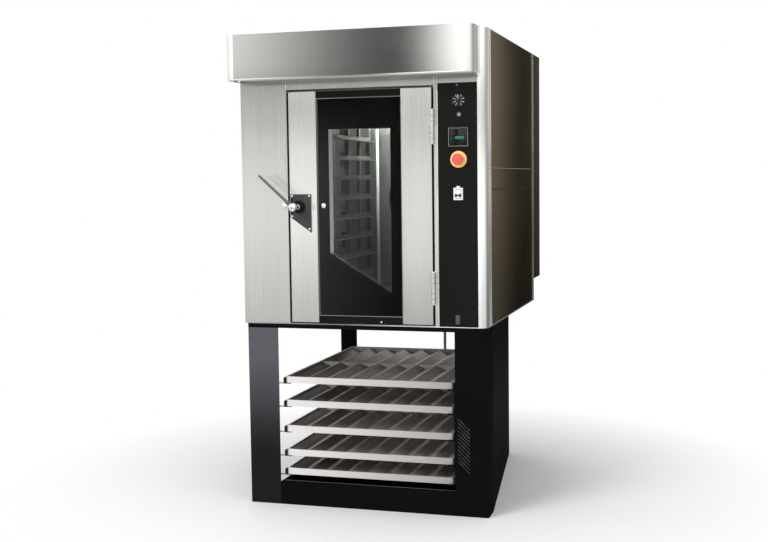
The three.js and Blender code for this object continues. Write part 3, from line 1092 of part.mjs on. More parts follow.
// A hinge has a lower half with its pin on the frame and an upper half on the door.
function buildHinge(name, foot, length) {
  const hinge = nested(plan, OPENING_RIGHT - HINGE_INSET, -HINGE_PROUD, foot);
  const half = length / 2;
  const leafBack = HINGE_PROUD - GAP;
  const leafFront = leafBack - HINGE_LEAF;
  const frameLeft = HINGE_INSET + 2 * GAP;
  const frameRight = HINGE_INSET + FRAME_STRIP_WIDTH - FRAME_LEAF_INSET;
  const fixed = join(
    bar(HINGE_RADIUS, [0, 0, 0], [0, 0, half - GAP]),
    bar(HINGE_PIN_RADIUS, [0, 0, 0], [0, 0, length - HINGE_PIN_DROP], 16),
    block(0, frameLeft + GAP, leafFront, leafFront + HINGE_LEAF / 2, 0, half - GAP),
    block(frameLeft, frameRight, leafFront, leafBack, 0, half - GAP));
  place(hinge, `hinge_${name}_frame`, fixed, brightSteel);

  const doorEdge = -(DOOR_HINGE_GAP - HINGE_INSET) - DOOR_LEAF_INSET;
  const doorBack = HINGE_PROUD + DOOR_SETBACK - GAP;
  const doorLeafLeft = doorEdge - DOOR_LEAF_WIDTH;
  const moving = cut(
    join(
      bar(HINGE_RADIUS, [0, 0, half], [0, 0, length]),
      block(doorLeafLeft, 0, doorBack - HINGE_LEAF, doorBack, half, length)),
    bar(HINGE_PIN_RADIUS + GAP, [0, 0, half - PAST],
      [0, 0, length - HINGE_PIN_DROP + PAST], 16));
  place(hinge, `hinge_${name}_door`, moving, brightSteel);
}

// ---------------------------------------------------------------- controls
function buildControls() {
  const controls = nested(plan, CONTROL_LEFT, -CONTROL_PROUD - GAP, CONTROL_BOTTOM);

  // A rotary knob with a raised grip bar.
  const d = DIAL;
  const dialBody = turned([[0, 0], [d.radius, 0], [d.radius, d.base],
    [d.radius - d.edge, d.base + d.edge], [0, d.base + d.edge]], 24);
  const gripHalf = d.radius - d.gripEnd;
  const grip = block(-d.grip / 2, d.grip / 2, -d.height, -d.base, -gripHalf, gripHalf);
  place(controls, 'dial_knob', join(dialBody, grip), blackPlastic, [d.x, 0, d.z]);

  // The temperature controller has a thin rim round its display.
  const half = CONTROLLER.size / 2;
  const inner = half - CONTROLLER.rim;
  const controller = cut(
    block(-half, half, -CONTROLLER.height, 0, -half, half),
    block(-inner, inner, -CONTROLLER.height - PAST, -CONTROLLER.height + CONTROLLER.recess,
      -inner, inner));
  place(controls, 'temperature_controller', controller, blackPlastic,
    [CONTROLLER.x, 0, CONTROLLER.z]);

  // The emergency stop is a red mushroom on a stem in a yellow ring.
  const stop = nested(controls, STOP.x, 0, STOP.z);
  const ring = cut(
    bar(STOP.ringRadius, [0, -STOP.ringHeight, 0], [0, 0, 0], 28),
    bar(STOP_STEM_RADIUS + GAP, [0, -STOP.ringHeight - PAST, 0], [0, PAST, 0], 20));
  place(stop, 'stop_ring', ring, stopYellow);
  const headBack = -STOP.ringHeight - STOP_LIFT;
  const head = turned([[0, 0], [STOP_HEAD.radius, 0], [STOP_HEAD.radius, STOP_HEAD.shoulder],
    [STOP_HEAD.crownRadius, STOP_HEAD.height], [0, STOP_HEAD.height]], 24);
  const button = join(
    bar(STOP_STEM_RADIUS, [0, headBack - PAST, 0], [0, -STOP.travel - GAP, 0], 20),
    head.translate([0, headBack, 0]));
  place(stop, 'stop_button', button, stopRed);

  // A rocker in a white frame with a small tab on top.
  const s = SWITCH;
  const rocker = nested(controls, s.x, 0, s.z);
  const frame = cut(
    join(block(-s.width / 2, s.width / 2, -s.thick, 0, -s.height / 2, s.height / 2),
      block(-SWITCH_TAB.width / 2, SWITCH_TAB.width / 2, -SWITCH_TAB.thick, 0,
        0, s.height / 2 + SWITCH_TAB.height)),
    block(-s.width / 2 + s.rim, s.width / 2 - s.rim, -s.thick - PAST, PAST,
      -s.height / 2 + s.rim, s.height / 2 - s.rim));
  place(rocker, 'switch_frame', frame, whitePlastic);
  const keyWidth = s.width / 2 - s.rim - GAP;
  const keyHeight = s.height / 2 - s.rim - ROCKER_TILT_ROOM;
  const key = block(-keyWidth, keyWidth, -s.thick - ROCKER_PROUD, -ROCKER_PROUD, -keyHeight, keyHeight);
  place(rocker, 'switch_rocker', key, whitePlastic);
}

buildStand();
buildTrays();
buildCabinet();
buildHood();
const { jacketTop } = buildChamber();
buildRotor(jacketTop);
buildAirSystem();
buildFlueAndDrain();
buildDoor();
buildControls();

export default oven;
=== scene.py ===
# %% [markdown]
# # A rotating rack oven on its stand
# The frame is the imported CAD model: every sheet, hinge, tray and motor is already in it, in
# metres, with +Z up and -Y towards the door. This lesson dresses it: it sets up a camera and a
# studio, makes a finish for each metal, paint and plastic, and models the small parts that give
# an oven its look, such as screws, edges, dials and lamps.

# %% Load the frame
import math
import bpy
from mathutils import Matrix, Vector


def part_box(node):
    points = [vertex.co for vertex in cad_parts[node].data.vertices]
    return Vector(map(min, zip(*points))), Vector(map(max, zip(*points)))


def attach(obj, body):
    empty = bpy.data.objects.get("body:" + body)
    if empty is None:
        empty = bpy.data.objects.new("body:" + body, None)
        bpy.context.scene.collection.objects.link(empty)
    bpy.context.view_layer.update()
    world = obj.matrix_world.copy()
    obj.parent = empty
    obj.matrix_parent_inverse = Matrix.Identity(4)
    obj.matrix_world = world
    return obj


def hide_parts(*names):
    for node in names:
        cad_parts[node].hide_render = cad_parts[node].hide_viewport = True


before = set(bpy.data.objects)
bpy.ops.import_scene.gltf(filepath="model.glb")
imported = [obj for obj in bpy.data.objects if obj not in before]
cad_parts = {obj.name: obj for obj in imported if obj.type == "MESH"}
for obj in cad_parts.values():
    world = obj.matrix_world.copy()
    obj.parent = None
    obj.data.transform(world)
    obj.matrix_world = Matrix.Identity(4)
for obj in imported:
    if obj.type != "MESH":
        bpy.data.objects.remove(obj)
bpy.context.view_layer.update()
MM = 0.001

# %% [markdown]
# ## Camera
# The oven is seen from the right of its door, at about the height of the latch and from 5 m away.
# The camera's axes are worked out from three angles, because that is exact, and an object
# constraint would still have to be tilted by hand for the slight roll.

# %% Camera
YAW, PITCH, ROLL = (math.radians(a) for a in (16.579, 4.513, -0.734))
CAMERA_PLACE = (1.3163, -4.6526, 1.2376)
FOCAL_LENGTH, SENSOR_WIDTH = 55.12, 36
forward = Vector((-math.sin(YAW) * math.cos(PITCH), math.cos(YAW) * math.cos(PITCH),
                  -math.sin(PITCH)))
level_right = Vector((math.cos(YAW), math.sin(YAW), 0))
level_up = level_right.cross(forward)
right = math.cos(ROLL) * level_right + math.sin(ROLL) * level_up
up = math.cos(ROLL) * level_up - math.sin(ROLL) * level_right
camera = bpy.data.objects.new("camera", bpy.data.cameras.new("camera"))
bpy.context.scene.collection.objects.link(camera)
camera.data.lens = FOCAL_LENGTH
camera.data.sensor_width = SENSOR_WIDTH
axes = Matrix((right, up, -forward)).transposed().to_4x4()
camera.matrix_world = Matrix.Translation(CAMERA_PLACE) @ axes
bpy.context.scene.camera = camera
print("camera stands", round(camera.location.length, 2), "m from the middle of the footprint")

# %% [markdown]
# ## Helpers for materials
# A material is a tree of nodes. One helper adds a node with its settings and fills its sockets, so
# that each finish below reads as a list of what it does. A socket is given a number, a colour, or
# a node to be linked to. Colours are written as sRGB hex, as a colour picker shows them, and one
# function turns them to the linear values that Cycles mixes.

# %% Helpers for materials
def linear(hexcode):
    parts = [int(hexcode[i:i + 2], 16) / 255 for i in (1, 3, 5)]
    levels = [p / 12.92 if p <= 0.04045 else ((p + 0.055) / 1.055) ** 2.4 for p in parts]
    return (*levels, 1.0)


def plug(tree, node, sockets):
    """Fills sockets. One that is given a node is linked to the first of its outputs in use."""
    for socket, value in sockets.items():
        if isinstance(value, bpy.types.Node):
            value = next(output for output in value.outputs if output.enabled)
        if isinstance(value, bpy.types.NodeSocket):
            tree.links.new(value, node.inputs[socket])
        else:
            node.inputs[socket].default_value = value


def add(tree, kind, sockets=None, **settings):
    """Adds one node, with its settings and what goes into its sockets."""
    node = tree.nodes.new("ShaderNode" + kind)
    for key, value in settings.items():
        setattr(node, key, value)
    plug(tree, node, sockets or {})
    return node


def surface(name, hexcode, metallic, roughness, **sockets):
    """A material with only its shader. Returns it, its tree, the shader and a point's place."""
    made = bpy.data.materials.new(name)
    made.use_nodes = True
    tree = made.node_tree
    shader = tree.nodes["Principled BSDF"]
    sockets.update(Base_Color=linear(hexcode), Metallic=metallic, Roughness=roughness)
    plug(tree, shader, {socket.replace("_", " "): value for socket, value in sockets.items()})
    return made, tree, shader, add(tree, "TexCoord").outputs["Object"]

# %% [markdown]
# ## Stainless steel
# The front, the hood and the door strips are stainless sheet, ground with a belt. The belt leaves
# grain: fine lines that all run one way. The grain is noise stretched along one axis. Its lines
# are really about 0.05 mm wide, which no picture of a whole oven can show, so they are drawn
# about 1 mm wide. The grain moves the roughness and the height, and the colour only a little. A
# second noise, stretched less, lays slow clouds of shade over it, as wiping does.

# %% Stainless steel
GRAIN_LENGTH = 160  # how many times as long as wide a line of the grain is
NOISE, TWO_NOISES = (0.3, 0.7), (0.6, 1.4)  # most of what a noise gives, or the sum of two


def between(low, high, to_low=0.0, to_high=1.0):
    """The limits for a Map Range node, which stretches values from one range to another."""
    return {"From Min": low, "From Max": high, "To Min": to_low, "To Max": to_high}


def brushed(name, hexcode, roughness, along, grain=900, streak=0.03, relief=0.06, metallic=1.0,
            clouds=(2.3, 2.3, 2.3), **sockets):
    """Sheet with grain along one axis: 0 is X, 1 is Y and 2 is Z. Grain and clouds are counted
    per metre. Streak is how much they change the shade."""
    made, tree, shader, place = surface(name, hexcode, metallic, roughness, **sockets)
    stretch = [grain] * 3
    stretch[along] = grain / GRAIN_LENGTH
    lines = add(tree, "Mapping", {"Vector": place, "Scale": stretch})
    grainy = add(tree, "TexNoise", {"Vector": lines, "Scale": 1.0, "Detail": 3.0, "Roughness": 0.6})
    slow = add(tree, "Mapping", {"Vector": place, "Scale": clouds})
    cloudy = add(tree, "TexNoise", {"Vector": slow, "Scale": 1.0, "Detail": 4.0, "Roughness": 0.55})
    shade = add(tree, "Math", {0: grainy, 1: cloudy}, operation="ADD")
    brightness = add(tree, "MapRange",
                     {"Value": shade, **between(*TWO_NOISES, 1 - streak, 1 + streak)})
    gloss = add(tree, "MapRange",
                {"Value": shade, **between(*TWO_NOISES, roughness * 0.85, roughness * 1.2)})
    tint = add(tree, "HueSaturation", {"Color": linear(hexcode), "Value": brightness})
    bump = add(tree, "Bump", {"Height": grainy, "Strength": relief, "Distance": 0.03 * MM})
    plug(tree, shader, {"Base Color": tint, "Roughness": gloss, "Normal": bump})
    return made


# The hood's grain is fine and runs along it, so it mirrors the studio in soft upright bands.
steel_across = brushed("satin_stainless_steel_ground_sideways", "#D9D9D5", 0.09, 0, relief=0.02)

# The front's grain runs upright and smears what it mirrors sideways. Its clouds are drawn out too.
steel_upright = brushed("satin_stainless_steel_ground_upright", "#D0D1CB", 0.24, 2, streak=0.08,
                        clouds=(11.0, 11.0, 0.5))
tree = steel_upright.node_tree
round_the_axis = add(tree, "Tangent", direction_type="RADIAL", axis="Z")
plug(tree, tree.nodes["Principled BSDF"], {"Anisotropic": 0.9, "Tangent": round_the_axis})

# %% [markdown]
# Some upright sheets change in shade with the height. The front is painted with shade that darkens
# towards the hood, which overhangs it. The door's left strip has painted light in its middle and
# painted shade at its top, under the hood. The right strip is only darker towards its foot. A copy
# of the finish is multiplied by a ramp of greys that follows the height of each point.

# %% Steel that changes with the height
def grey(strength):
    return (strength, strength, strength, 1.0)


def set_stops(ramp, stops):
    """Gives a colour ramp its stops, which are pairs of a place from 0 to 1 and a colour."""
    elements = ramp.color_ramp.elements
    elements.remove(elements[1])
    for number, (place, colour) in enumerate(stops):
        element = elements.new(place) if number else elements[0]
        element.position, element.color = place, colour
    return ramp


def by_height(finish, name, stops):
    """A copy of a finish whose shade changes with the height: pairs of metres and brightness."""
    made = finish.copy()
    made.name = name
    tree = made.node_tree
    shader = tree.nodes["Principled BSDF"]
    plain = shader.inputs["Base Color"].links[0].from_socket
    place = add(tree, "TexCoord").outputs["Object"]
    height = add(tree, "SeparateXYZ", {0: place}).outputs["Z"]
    low, high = stops[0][0], stops[-1][0]
    share = add(tree, "MapRange", {"Value": height, **between(low, high)})
    shades = set_stops(add(tree, "ValToRGB", {0: share}),
                       [((level - low) / (high - low), grey(shade)) for level, shade in stops])
    shaded = add(tree, "Mix", {"Factor": 1.0, "A": plain, "B": shades}, data_type="RGBA",
                 blend_type="MULTIPLY")
    plug(tree, shader, {"Base Color": shaded})
    return made


# Painted shade: the front darkens towards the hood, which overhangs it.
steel_front_painted_shade = by_height(steel_upright, "satin_stainless_steel_with_painted_hood_shade",
                        [(1.38, 1.0), (1.5, 0.84), (1.6, 0.6)])
# Painted light and shade: the left strip is lighter in its middle and darker at its top, under the
# hood.
steel_strip_painted_light = by_height(steel_upright, "satin_stainless_steel_with_painted_light_and_shade",
                        [(0.8, 1.0), (1.05, 1.2), (1.35, 1.2), (1.5, 0.93)])
# The right strip is darker towards its foot.
steel_darker_below = by_height(steel_upright, "satin_stainless_steel_darker_at_its_foot",
                       [(0.7, 0.85), (0.95, 1.0)])

# %% [markdown]
# The other steels differ in how they were worked. Polished trim mirrors sharply, drawn rods and
# tubes have long soft highlights, and turned hinges and the chamber's sheets are duller.

# %% Other steels
steel_trim = brushed("bright_trim_steel", "#E9E9E4", 0.13, 2, relief=0.02)
steel_rod = brushed("drawn_steel_rod", "#6F6C65", 0.34, 2, streak=0.08)
steel_liner = brushed("chamber_stainless_steel", "#9FA19C", 0.30, 2, streak=0.09, metallic=0.75)
steel_rack = brushed("drawn_stainless_steel_tube", "#8C8C88", 0.32, 2, streak=0.10, metallic=0.9)
steel_hinge = brushed("turned_steel", "#C9C9C5", 0.32, 2, streak=0.06)
steel_bright = brushed("polished_stainless_steel", "#E6E6E3", 0.14, 2, grain=500, streak=0.02)
heated_steel = brushed("heat_tinted_steel", "#6A625A", 0.45, 1, streak=0.25)
# Aluminium that is white and matt and mirrors little, so it isn't metallic. On the window's spacer,
# the hood's baffle and the rack's stops, its bright colour is a painted reflection of the light.
aluminium_painted_bright = brushed("matt_aluminium_with_painted_reflection", "#F6F6F3", 0.4, 2, streak=0.02, metallic=0.0)

# %% [markdown]
# ## Tinted side sheets
# The sides, the roof and the back are the same sheet with a dark bronze tint. Tinted sheet is
# still metal: the colour goes into the reflection, and it pales where the sheet is seen edge on.

# %% Tinted side sheets
bronze_edge = linear("#D9CFBC")
bronze_side = brushed("bronze_tinted_stainless_steel", "#6E6250", 0.07, 2, streak=0.10, relief=0.02,
                      Specular_Tint=bronze_edge)
bronze_flat = brushed("bronze_tinted_stainless_steel_flat", "#6E6250", 0.24, 1, streak=0.10,
                      Specular_Tint=bronze_edge)

# %% [markdown]
# ## Painted, moulded and enamelled surfaces
# Powder coat has a skin like an orange's, with bumps of about two millimetres. Enamelled panels
# and glass paint are smooth, with a little dust. Moulded plastic is slightly grained. One
# function covers them, because only the size and the depth of the grain differ.

# %% Coated surfaces
DRIFT_SCALE = 5.0  # per metre, so that colour and gloss drift over about 200 mm


def coated(name, hexcode, roughness, grain_mm, depth_mm, specular=0.3, drift=0.08):
    """A coat with a grain of the given size in millimetres, and slow drifts of colour and gloss."""
    made, tree, shader, place = surface(name, hexcode, 0.0, roughness, Specular_IOR_Level=specular)
    fine = add(tree, "TexNoise", {"Vector": place, "Scale": 1 / (grain_mm * MM), "Detail": 2.0})
    slow = add(tree, "TexNoise",
               {"Vector": place, "Scale": DRIFT_SCALE, "Detail": 5.0, "Roughness": 0.6})
    brightness = add(tree, "MapRange", {"Value": slow, **between(*NOISE, 1 - drift, 1 + drift)})
    gloss = add(tree, "MapRange",
                {"Value": slow, **between(*NOISE, roughness - 0.04, roughness + 0.05)})
    tint = add(tree, "HueSaturation", {"Color": linear(hexcode), "Value": brightness})
    bump = add(tree, "Bump", {"Height": fine, "Strength": 0.35, "Distance": depth_mm * MM})
    plug(tree, shader, {"Base Color": tint, "Roughness": gloss, "Normal": bump})
    return made


# Powder coat and paint on steel: matt, and their soft bumps break the light up.
powder_black = coated("black_powder_coat", "#111112", 0.6, 2.5, 0.2, specular=0.001)
# Painted reflection: the grey of the left front post stands for light that it mirrors; the coat
# itself is black.
powder_painted_reflection = coated("black_powder_coat_with_painted_reflection", "#565559", 0.5, 2.5, 0.2, specular=0.05)
plate_paint = coated("grey_plate_paint", "#3F3F40", 0.45, 2.0, 0.1, specular=0.2)
# The grey coat also paints highlights on the black stand: its louvre lips and the plinth's fold.
grey_coat_and_painted_highlight = coated("grey_coated_steel_and_painted_highlights", "#4F4F50", 0.45, 2.0, 0.1)
motor_grey = coated("grey_motor_paint", "#5D6266", 0.45, 2.0, 0.2)
zinc_plate = coated("zinc_plated_steel", "#CDCECE", 0.5, 4.0, 0.05, specular=0.2, drift=0.05)
# Enamel and screen glass: deep black with a clear gloss. Paint behind glass is black and even.
enamel_black = coated("black_enamel", "#161615", 0.22, 6.0, 0.04, specular=0.08)
glass_paint = coated("black_glass_paint", "#0E0E0D", 0.5, 3.0, 0.03, specular=0.02)
screen_glass = coated("dark_screen_glass", "#0B0D0C", 0.10, 8.0, 0.02)
# Moulded plastics: one even colour all through, with a soft highlight on every rounded edge.
plastic_black = coated("black_abs_plastic", "#131314", 0.42, 1.2, 0.08)
plastic_white = coated("white_abs_plastic", "#E8E8E6", 0.35, 1.5, 0.05, drift=0.02)
plastic_yellow = coated("yellow_polycarbonate", "#F9D27E", 0.32, 1.5, 0.05, drift=0.03)
plastic_red = coated("red_polycarbonate", "#DC5F5E", 0.30, 1.5, 0.05, drift=0.04)
# Silicone rubber is dull and dark, and mineral wool is all fibre, with no gloss.
silicone_black = coated("black_silicone_rubber", "#0E0E0E", 0.7, 1.5, 0.1, specular=0.2)
wool = coated("mineral_wool", "#B8A98A", 0.95, 3.0, 3.0, specular=0.05, drift=0.2)

# %% [markdown]
# The left front post is black powder coat with a painted reflection: grey under the oven, fading
# to black towards the floor. This painted reflection follows the height of each point, through a
# ramp with four stops.

# %% Post coat
POST_REFLECTION_STOPS = [(0.20, "#1B1A1B"), (0.30, "#2A292B"), (0.41, "#434248"), (0.56, "#56555B")]
tree = powder_painted_reflection.node_tree
place = add(tree, "TexCoord").outputs["Object"]
height = add(tree, "SeparateXYZ", {0: place}).outputs["Z"]
painted_reflection = set_stops(add(tree, "ValToRGB", {0: height}),
                      [(level, linear(shade)) for level, shade in POST_REFLECTION_STOPS])
slow = add(tree, "TexNoise", {"Vector": place, "Scale": DRIFT_SCALE, "Detail": 5.0})
drift = add(tree, "MapRange", {"Value": slow, **between(*NOISE, 0.94, 1.06)})
reflection_with_drift = add(tree, "HueSaturation", {"Color": painted_reflection, "Value": drift})
plug(tree, tree.nodes["Principled BSDF"], {"Base Color": reflection_with_drift})

# %% [markdown]
# The left runners are dark grey, and the arms that carry them are zinc plated. The arms are the
# part of that piece to the left of the runners' webs, so the finish parts them by each point's X.

# %% Runner coat
WEB_OFFSET = 7.1 * MM  # from the trays' left ends to the far side of the webs
runner_coat = coated("black_powder_coat_on_zinc_arms", "#39393A", 0.6, 2.5, 0.2, specular=0.003)
tree = runner_coat.node_tree
shader = tree.nodes["Principled BSDF"]
web_colour = shader.inputs["Base Color"].links[0].from_socket
place = add(tree, "TexCoord").outputs["Object"]
sideways = add(tree, "SeparateXYZ", {0: place}).outputs["X"]
web_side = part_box("stand_tray_1")[0].x - WEB_OFFSET
on_arm = add(tree, "MapRange", {"Value": sideways, **between(web_side, web_side - 0.3 * MM)})
two_coats = add(tree, "Mix", {"Factor": on_arm, "A": web_colour, "B": linear("#D2D3D2")},
                data_type="RGBA")
plug(tree, shader, {"Base Color": two_coats})
print("the runners' arms begin at X", round(web_side / MM, 1), "mm")

# %% [markdown]
# ## Glass and lit windows
# The panes are clear float glass, faintly green, and wiping leaves them slightly smeared. The
# readout of the controller is green and shines a little by itself. The signal lamp's lens is clear
# plastic with a warm glow.

# %% Glass and lit windows
glass, tree, shader, place = surface("clear_float_glass", "#FAFCFB", 0.0, 0.02,
                                     Transmission_Weight=1.0, IOR=1.5)
smears = add(tree, "TexNoise", {"Vector": place, "Scale": 9.0, "Detail": 6.0})  # about 110 mm
smeared = add(tree, "MapRange", {"Value": smears, **between(0.35, 0.75, 0.0, 0.03)})
plug(tree, shader, {"Roughness": smeared})


def glowing(name, hexcode, strength, roughness=0.3):
    """A lens or a readout that shines by itself, through moulded ripples of about 6 mm."""
    made, tree, shader, place = surface(name, hexcode, 0.0, roughness, Emission_Strength=strength)
    ripple = add(tree, "TexNoise", {"Vector": place, "Scale": 160.0, "Detail": 2.0})
    brightness = add(tree, "MapRange", {"Value": ripple, **between(*NOISE, 0.85, 1.1)})
    tint = add(tree, "HueSaturation", {"Color": linear(hexcode), "Value": brightness})
    plug(tree, shader, {"Base Color": tint, "Emission Color": tint})
    return made


readout_green = glowing("green_readout", "#17684A", 0.25)
lamp_warm = glowing("lamp_lens", "#C2BFB4", 0.15, 0.15)

# %% [markdown]
# ## Tray metal
# The trays are aluminium. Their rims stay bright, because hands and runners rub them, and the
# flutes are dark from baking, with lighter ridges. The finish finds the rim, the ridges and the
# plate between the two pans from the place of each point, so one material fits all five trays.

# %% Where a point lies on a tray
tray_low, tray_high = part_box("stand_tray_1")
tray_middle = (tray_low + tray_high) / 2
RIM, RIDGES = 5 * MM, 8
MARGIN = 0.2 * MM  # so that the walls of the rim and the plate are counted with them
ridge_pitch = (tray_high.x - tray_low.x - 2 * RIM) / RIDGES
tray_metal, tree, shader, place = surface("baked_aluminium", "#6B655E", 0.0, 0.45,
                                          Specular_IOR_Level=0.4)
split = add(tree, "SeparateXYZ", {0: place}).outputs


def beyond(axis, middle, half):
    """How far a point lies outside a strip, along one axis."""
    offset = add(tree, "Math", {0: split[axis], 1: middle}, operation="SUBTRACT")
    size = add(tree, "Math", {0: offset}, operation="ABSOLUTE")
    return add(tree, "Math", {0: size, 1: half}, operation="SUBTRACT")


outside_x = beyond("X", tray_middle.x, (tray_high.x - tray_low.x) / 2 - RIM - MARGIN)
outside_y = beyond("Y", tray_middle.y, (tray_high.y - tray_low.y) / 2 - RIM - MARGIN)
outside = add(tree, "Math", {0: outside_x, 1: outside_y}, operation="MAXIMUM")
on_rim = add(tree, "MapRange", {"Value": outside, **between(0.0, 0.3 * MM)})
off_plate = beyond("Y", tray_middle.y, RIM + MARGIN)
on_plate = add(tree, "MapRange", {"Value": off_plate, **between(MARGIN, 0.0)})
flute = add(tree, "Math", {0: split["X"], 1: tray_low.x + RIM}, operation="SUBTRACT")
to_ridge = add(tree, "Math", {0: flute, 1: ridge_pitch / 2}, operation="PINGPONG")
on_ridge = add(tree, "MapRange", {"Value": to_ridge, **between(1.5 * MM, 0.4 * MM)})
print("tray ridges every", round(ridge_pitch / MM, 1), "mm")

# %% [markdown]
# Soot and painted shade darken the left ends of the trays and their front. The top tray, which is
# told by its height, is darker still as painted shade, most on its front pan. Each factor is the
# share of the colour that is kept, so they are multiplied.

# %% Soot and painted shade on the trays
left, front, under = tray_low
sideways = add(tree, "MapRange", {"Value": split["X"], **between(left, left + 300 * MM, 0.3, 1.08)})
backwards = add(tree, "MapRange",
                {"Value": split["Y"], **between(front, front + 200 * MM, 0.75, 1.05)})
clean_and_unshaded = add(tree, "Math", {0: sideways, 1: backwards}, operation="MULTIPLY")
top_tray = add(tree, "MapRange", {"Value": split["Z"], **between(under - 25 * MM, under - 10 * MM)})
front_pan = add(tree, "MapRange",
                {"Value": split["Y"], **between(tray_middle.y, tray_middle.y + 1 * MM, 0.3, 0.12)})
soot_and_shade = add(tree, "Math", {0: top_tray, 1: front_pan}, operation="MULTIPLY")
left_clean_and_unshaded = add(tree, "Math", {0: 1.0, 1: soot_and_shade}, operation="SUBTRACT")
clean_and_unshaded = add(tree, "Math", {0: clean_and_unshaded, 1: left_clean_and_unshaded}, operation="MULTIPLY")

# %% [markdown]
# The colours are mixed one over the other: stains of about 60 mm, the lighter ridges, the sooty
# and shaded parts, the plate between the pans, and last the rim, with painted light
# that is brightest at its left end and darker towards the right. Fine scuffs of about 4 mm break
# up the gloss.

# %% Tray colours
stains = add(tree, "TexNoise", {"Vector": place, "Scale": 16.0, "Detail": 6.0, "Roughness": 0.65})
stained = add(tree, "MapRange", {"Value": stains, **between(0.35, 0.7)})
OVER = {"data_type": "RGBA"}
colour = add(tree, "Mix", {"Factor": stained, "A": linear("#C9C0B6"), "B": linear("#ABA198")},
             **OVER)
colour = add(tree, "Mix", {"Factor": on_ridge, "A": colour, "B": linear("#BFB9B0")}, **OVER)
colour = add(tree, "HueSaturation", {"Color": colour, "Value": clean_and_unshaded})
colour = add(tree, "Mix", {"Factor": on_plate, "A": colour, "B": linear("#DAD5CF")}, **OVER)
# Painted light on the rim: brightest at the trays' left ends, darker towards the right.
rim_painted_light = add(tree, "MapRange",
             {"Value": split["X"], **between(tray_low.x, tray_high.x, 1.38, 0.66)})
rim_lit_colour = add(tree, "HueSaturation", {"Color": linear("#C8C5C5"), "Value": rim_painted_light})
colour = add(tree, "Mix", {"Factor": on_rim, "A": colour, "B": rim_lit_colour}, **OVER)
metal = add(tree, "MapRange", {"Value": on_rim, **between(0.0, 1.0, 0.35, 0.7)})
scuffs = add(tree, "TexNoise", {"Vector": place, "Scale": 240.0, "Detail": 3.0})
gloss = add(tree, "MapRange", {"Value": scuffs, **between(*NOISE, 0.38, 0.52)})
bump = add(tree, "Bump", {"Height": scuffs, "Strength": 0.2, "Distance": 0.1 * MM})
plug(tree, shader, {"Base Color": colour, "Metallic": metal, "Roughness": gloss, "Normal": bump})
print("materials made:", len(bpy.data.materials))

# %% [markdown]
# ## Finishes on the CAD pieces
# The CAD pieces keep their shapes. Each gets the finish of its real counterpart, by name. A
# finish that is missing from this list would show at once as a plain colour, so the cell
# counts what it covered.

# %% Finishes on the CAD pieces
finishes = {
    steel_across: ["hood"],
    steel_front_painted_shade: ["front_panel"],
    steel_strip_painted_light: ["door_left_strip"],
    steel_darker_below: ["door_right_strip"],
    steel_trim: ["corner_trim"],
    bronze_side: ["side_panel_left", "side_panel_right", "rear_casing"],
    bronze_flat: ["roof_panel", "underside_and_back"],
    steel_liner: ["chamber_front", "chamber_liner", "air_wall", "door_lining", "fan_wheel",
                  "flue_collar", "flue_damper"],
    steel_rack: ["rack_ladder_left", "rack_ladder_right", "rack_bottom_frame", "rack_hanger"],
    steel_bright: ["glass_knob", "handle_spindle", "handle_lever"],
    steel_hinge: ["hinge_top_frame", "hinge_top_door", "hinge_bottom_frame", "hinge_bottom_door"],
    powder_painted_reflection: ["stand_front_left_post"],
    powder_black: ["stand_rear_left_post", "stand_rear_right_post",
                   "stand_right_side", "stand_top_frame", "stand_base", "tray_runners_right"],
    zinc_plate: ["drain_pipe"],
    runner_coat: ["tray_runners_left"],
    tray_metal: [f"stand_tray_{i}" for i in range(1, 6)],
    enamel_black: ["control_panel", "door_skin"],
    glass_paint: ["glass_mask"],
    glass: ["inner_glass", "outer_glass"],
    plate_paint: ["handle_plate"],
    motor_grey: ["gear_motor", "fan_motor"],
    heated_steel: ["heater_element", "steam_maker"],
    plastic_black: ["dial_knob", "temperature_controller"],
    plastic_white: ["switch_frame", "switch_rocker"],
    plastic_yellow: ["stop_ring"],
    plastic_red: ["stop_button"],
    silicone_black: ["door_gasket"],
    wool: ["insulation_jacket"],
}
for finish, names in finishes.items():
    for name in names:
        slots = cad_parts[name].data.materials
        slots.clear()
        slots.append(finish)
print("finished nodes:", sum(len(names) for names in finishes.values()), "of", len(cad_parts))

# %% [markdown]
# ## Helpers for modelling
# Every new piece is made as by hand: a primitive, then extrude, scale, bevel or inset in edit
# mode, then modifiers. Places are written as on the drawing: millimetres from the cabinet's left
# front corner, X to the right, Y to the back and Z up from the floor.

# %% Places and selections
corner = Vector((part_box("side_panel_left")[0].x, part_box("front_panel")[0].y, 0))
NEARLY = 0.99  # the cosine above which two directions count as the same


def at(x, y, z):
    return corner + Vector((x, y, z)) * MM


def select_only(*pieces):
    """Selects these pieces alone, and makes the first of them the active one."""
    if bpy.context.object and bpy.context.object.mode != "OBJECT":
        bpy.ops.object.mode_set(mode="OBJECT")
    bpy.ops.object.select_all(action="DESELECT")
    for piece in pieces:
        piece.select_set(True)
    if pieces:
        bpy.context.view_layer.objects.active = pieces[0]


def choose(piece, kind, test):
    """Goes to edit mode with the faces, edges or vertices selected that pass the test.
    The test is given a face's centre and normal, an edge's middle and direction, or a vertex's
    place twice."""
    select_only(piece)
    bpy.ops.object.mode_set(mode="EDIT")
    bpy.ops.mesh.select_mode(type=kind)
    bpy.ops.mesh.select_all(action="DESELECT")
    bpy.ops.object.mode_set(mode="OBJECT")
    mesh = piece.data
    if kind == "FACE":
        for face in mesh.polygons:
            face.select = test(face.center, face.normal)
    elif kind == "EDGE":
        for edge in mesh.edges:
            first, second = (mesh.vertices[i].co for i in edge.vertices)
            edge.select = test((first + second) / 2, (second - first).normalized())
    else:
        for vertex in mesh.vertices:
            vertex.select = test(vertex.co, vertex.co)
    bpy.ops.object.mode_set(mode="EDIT")


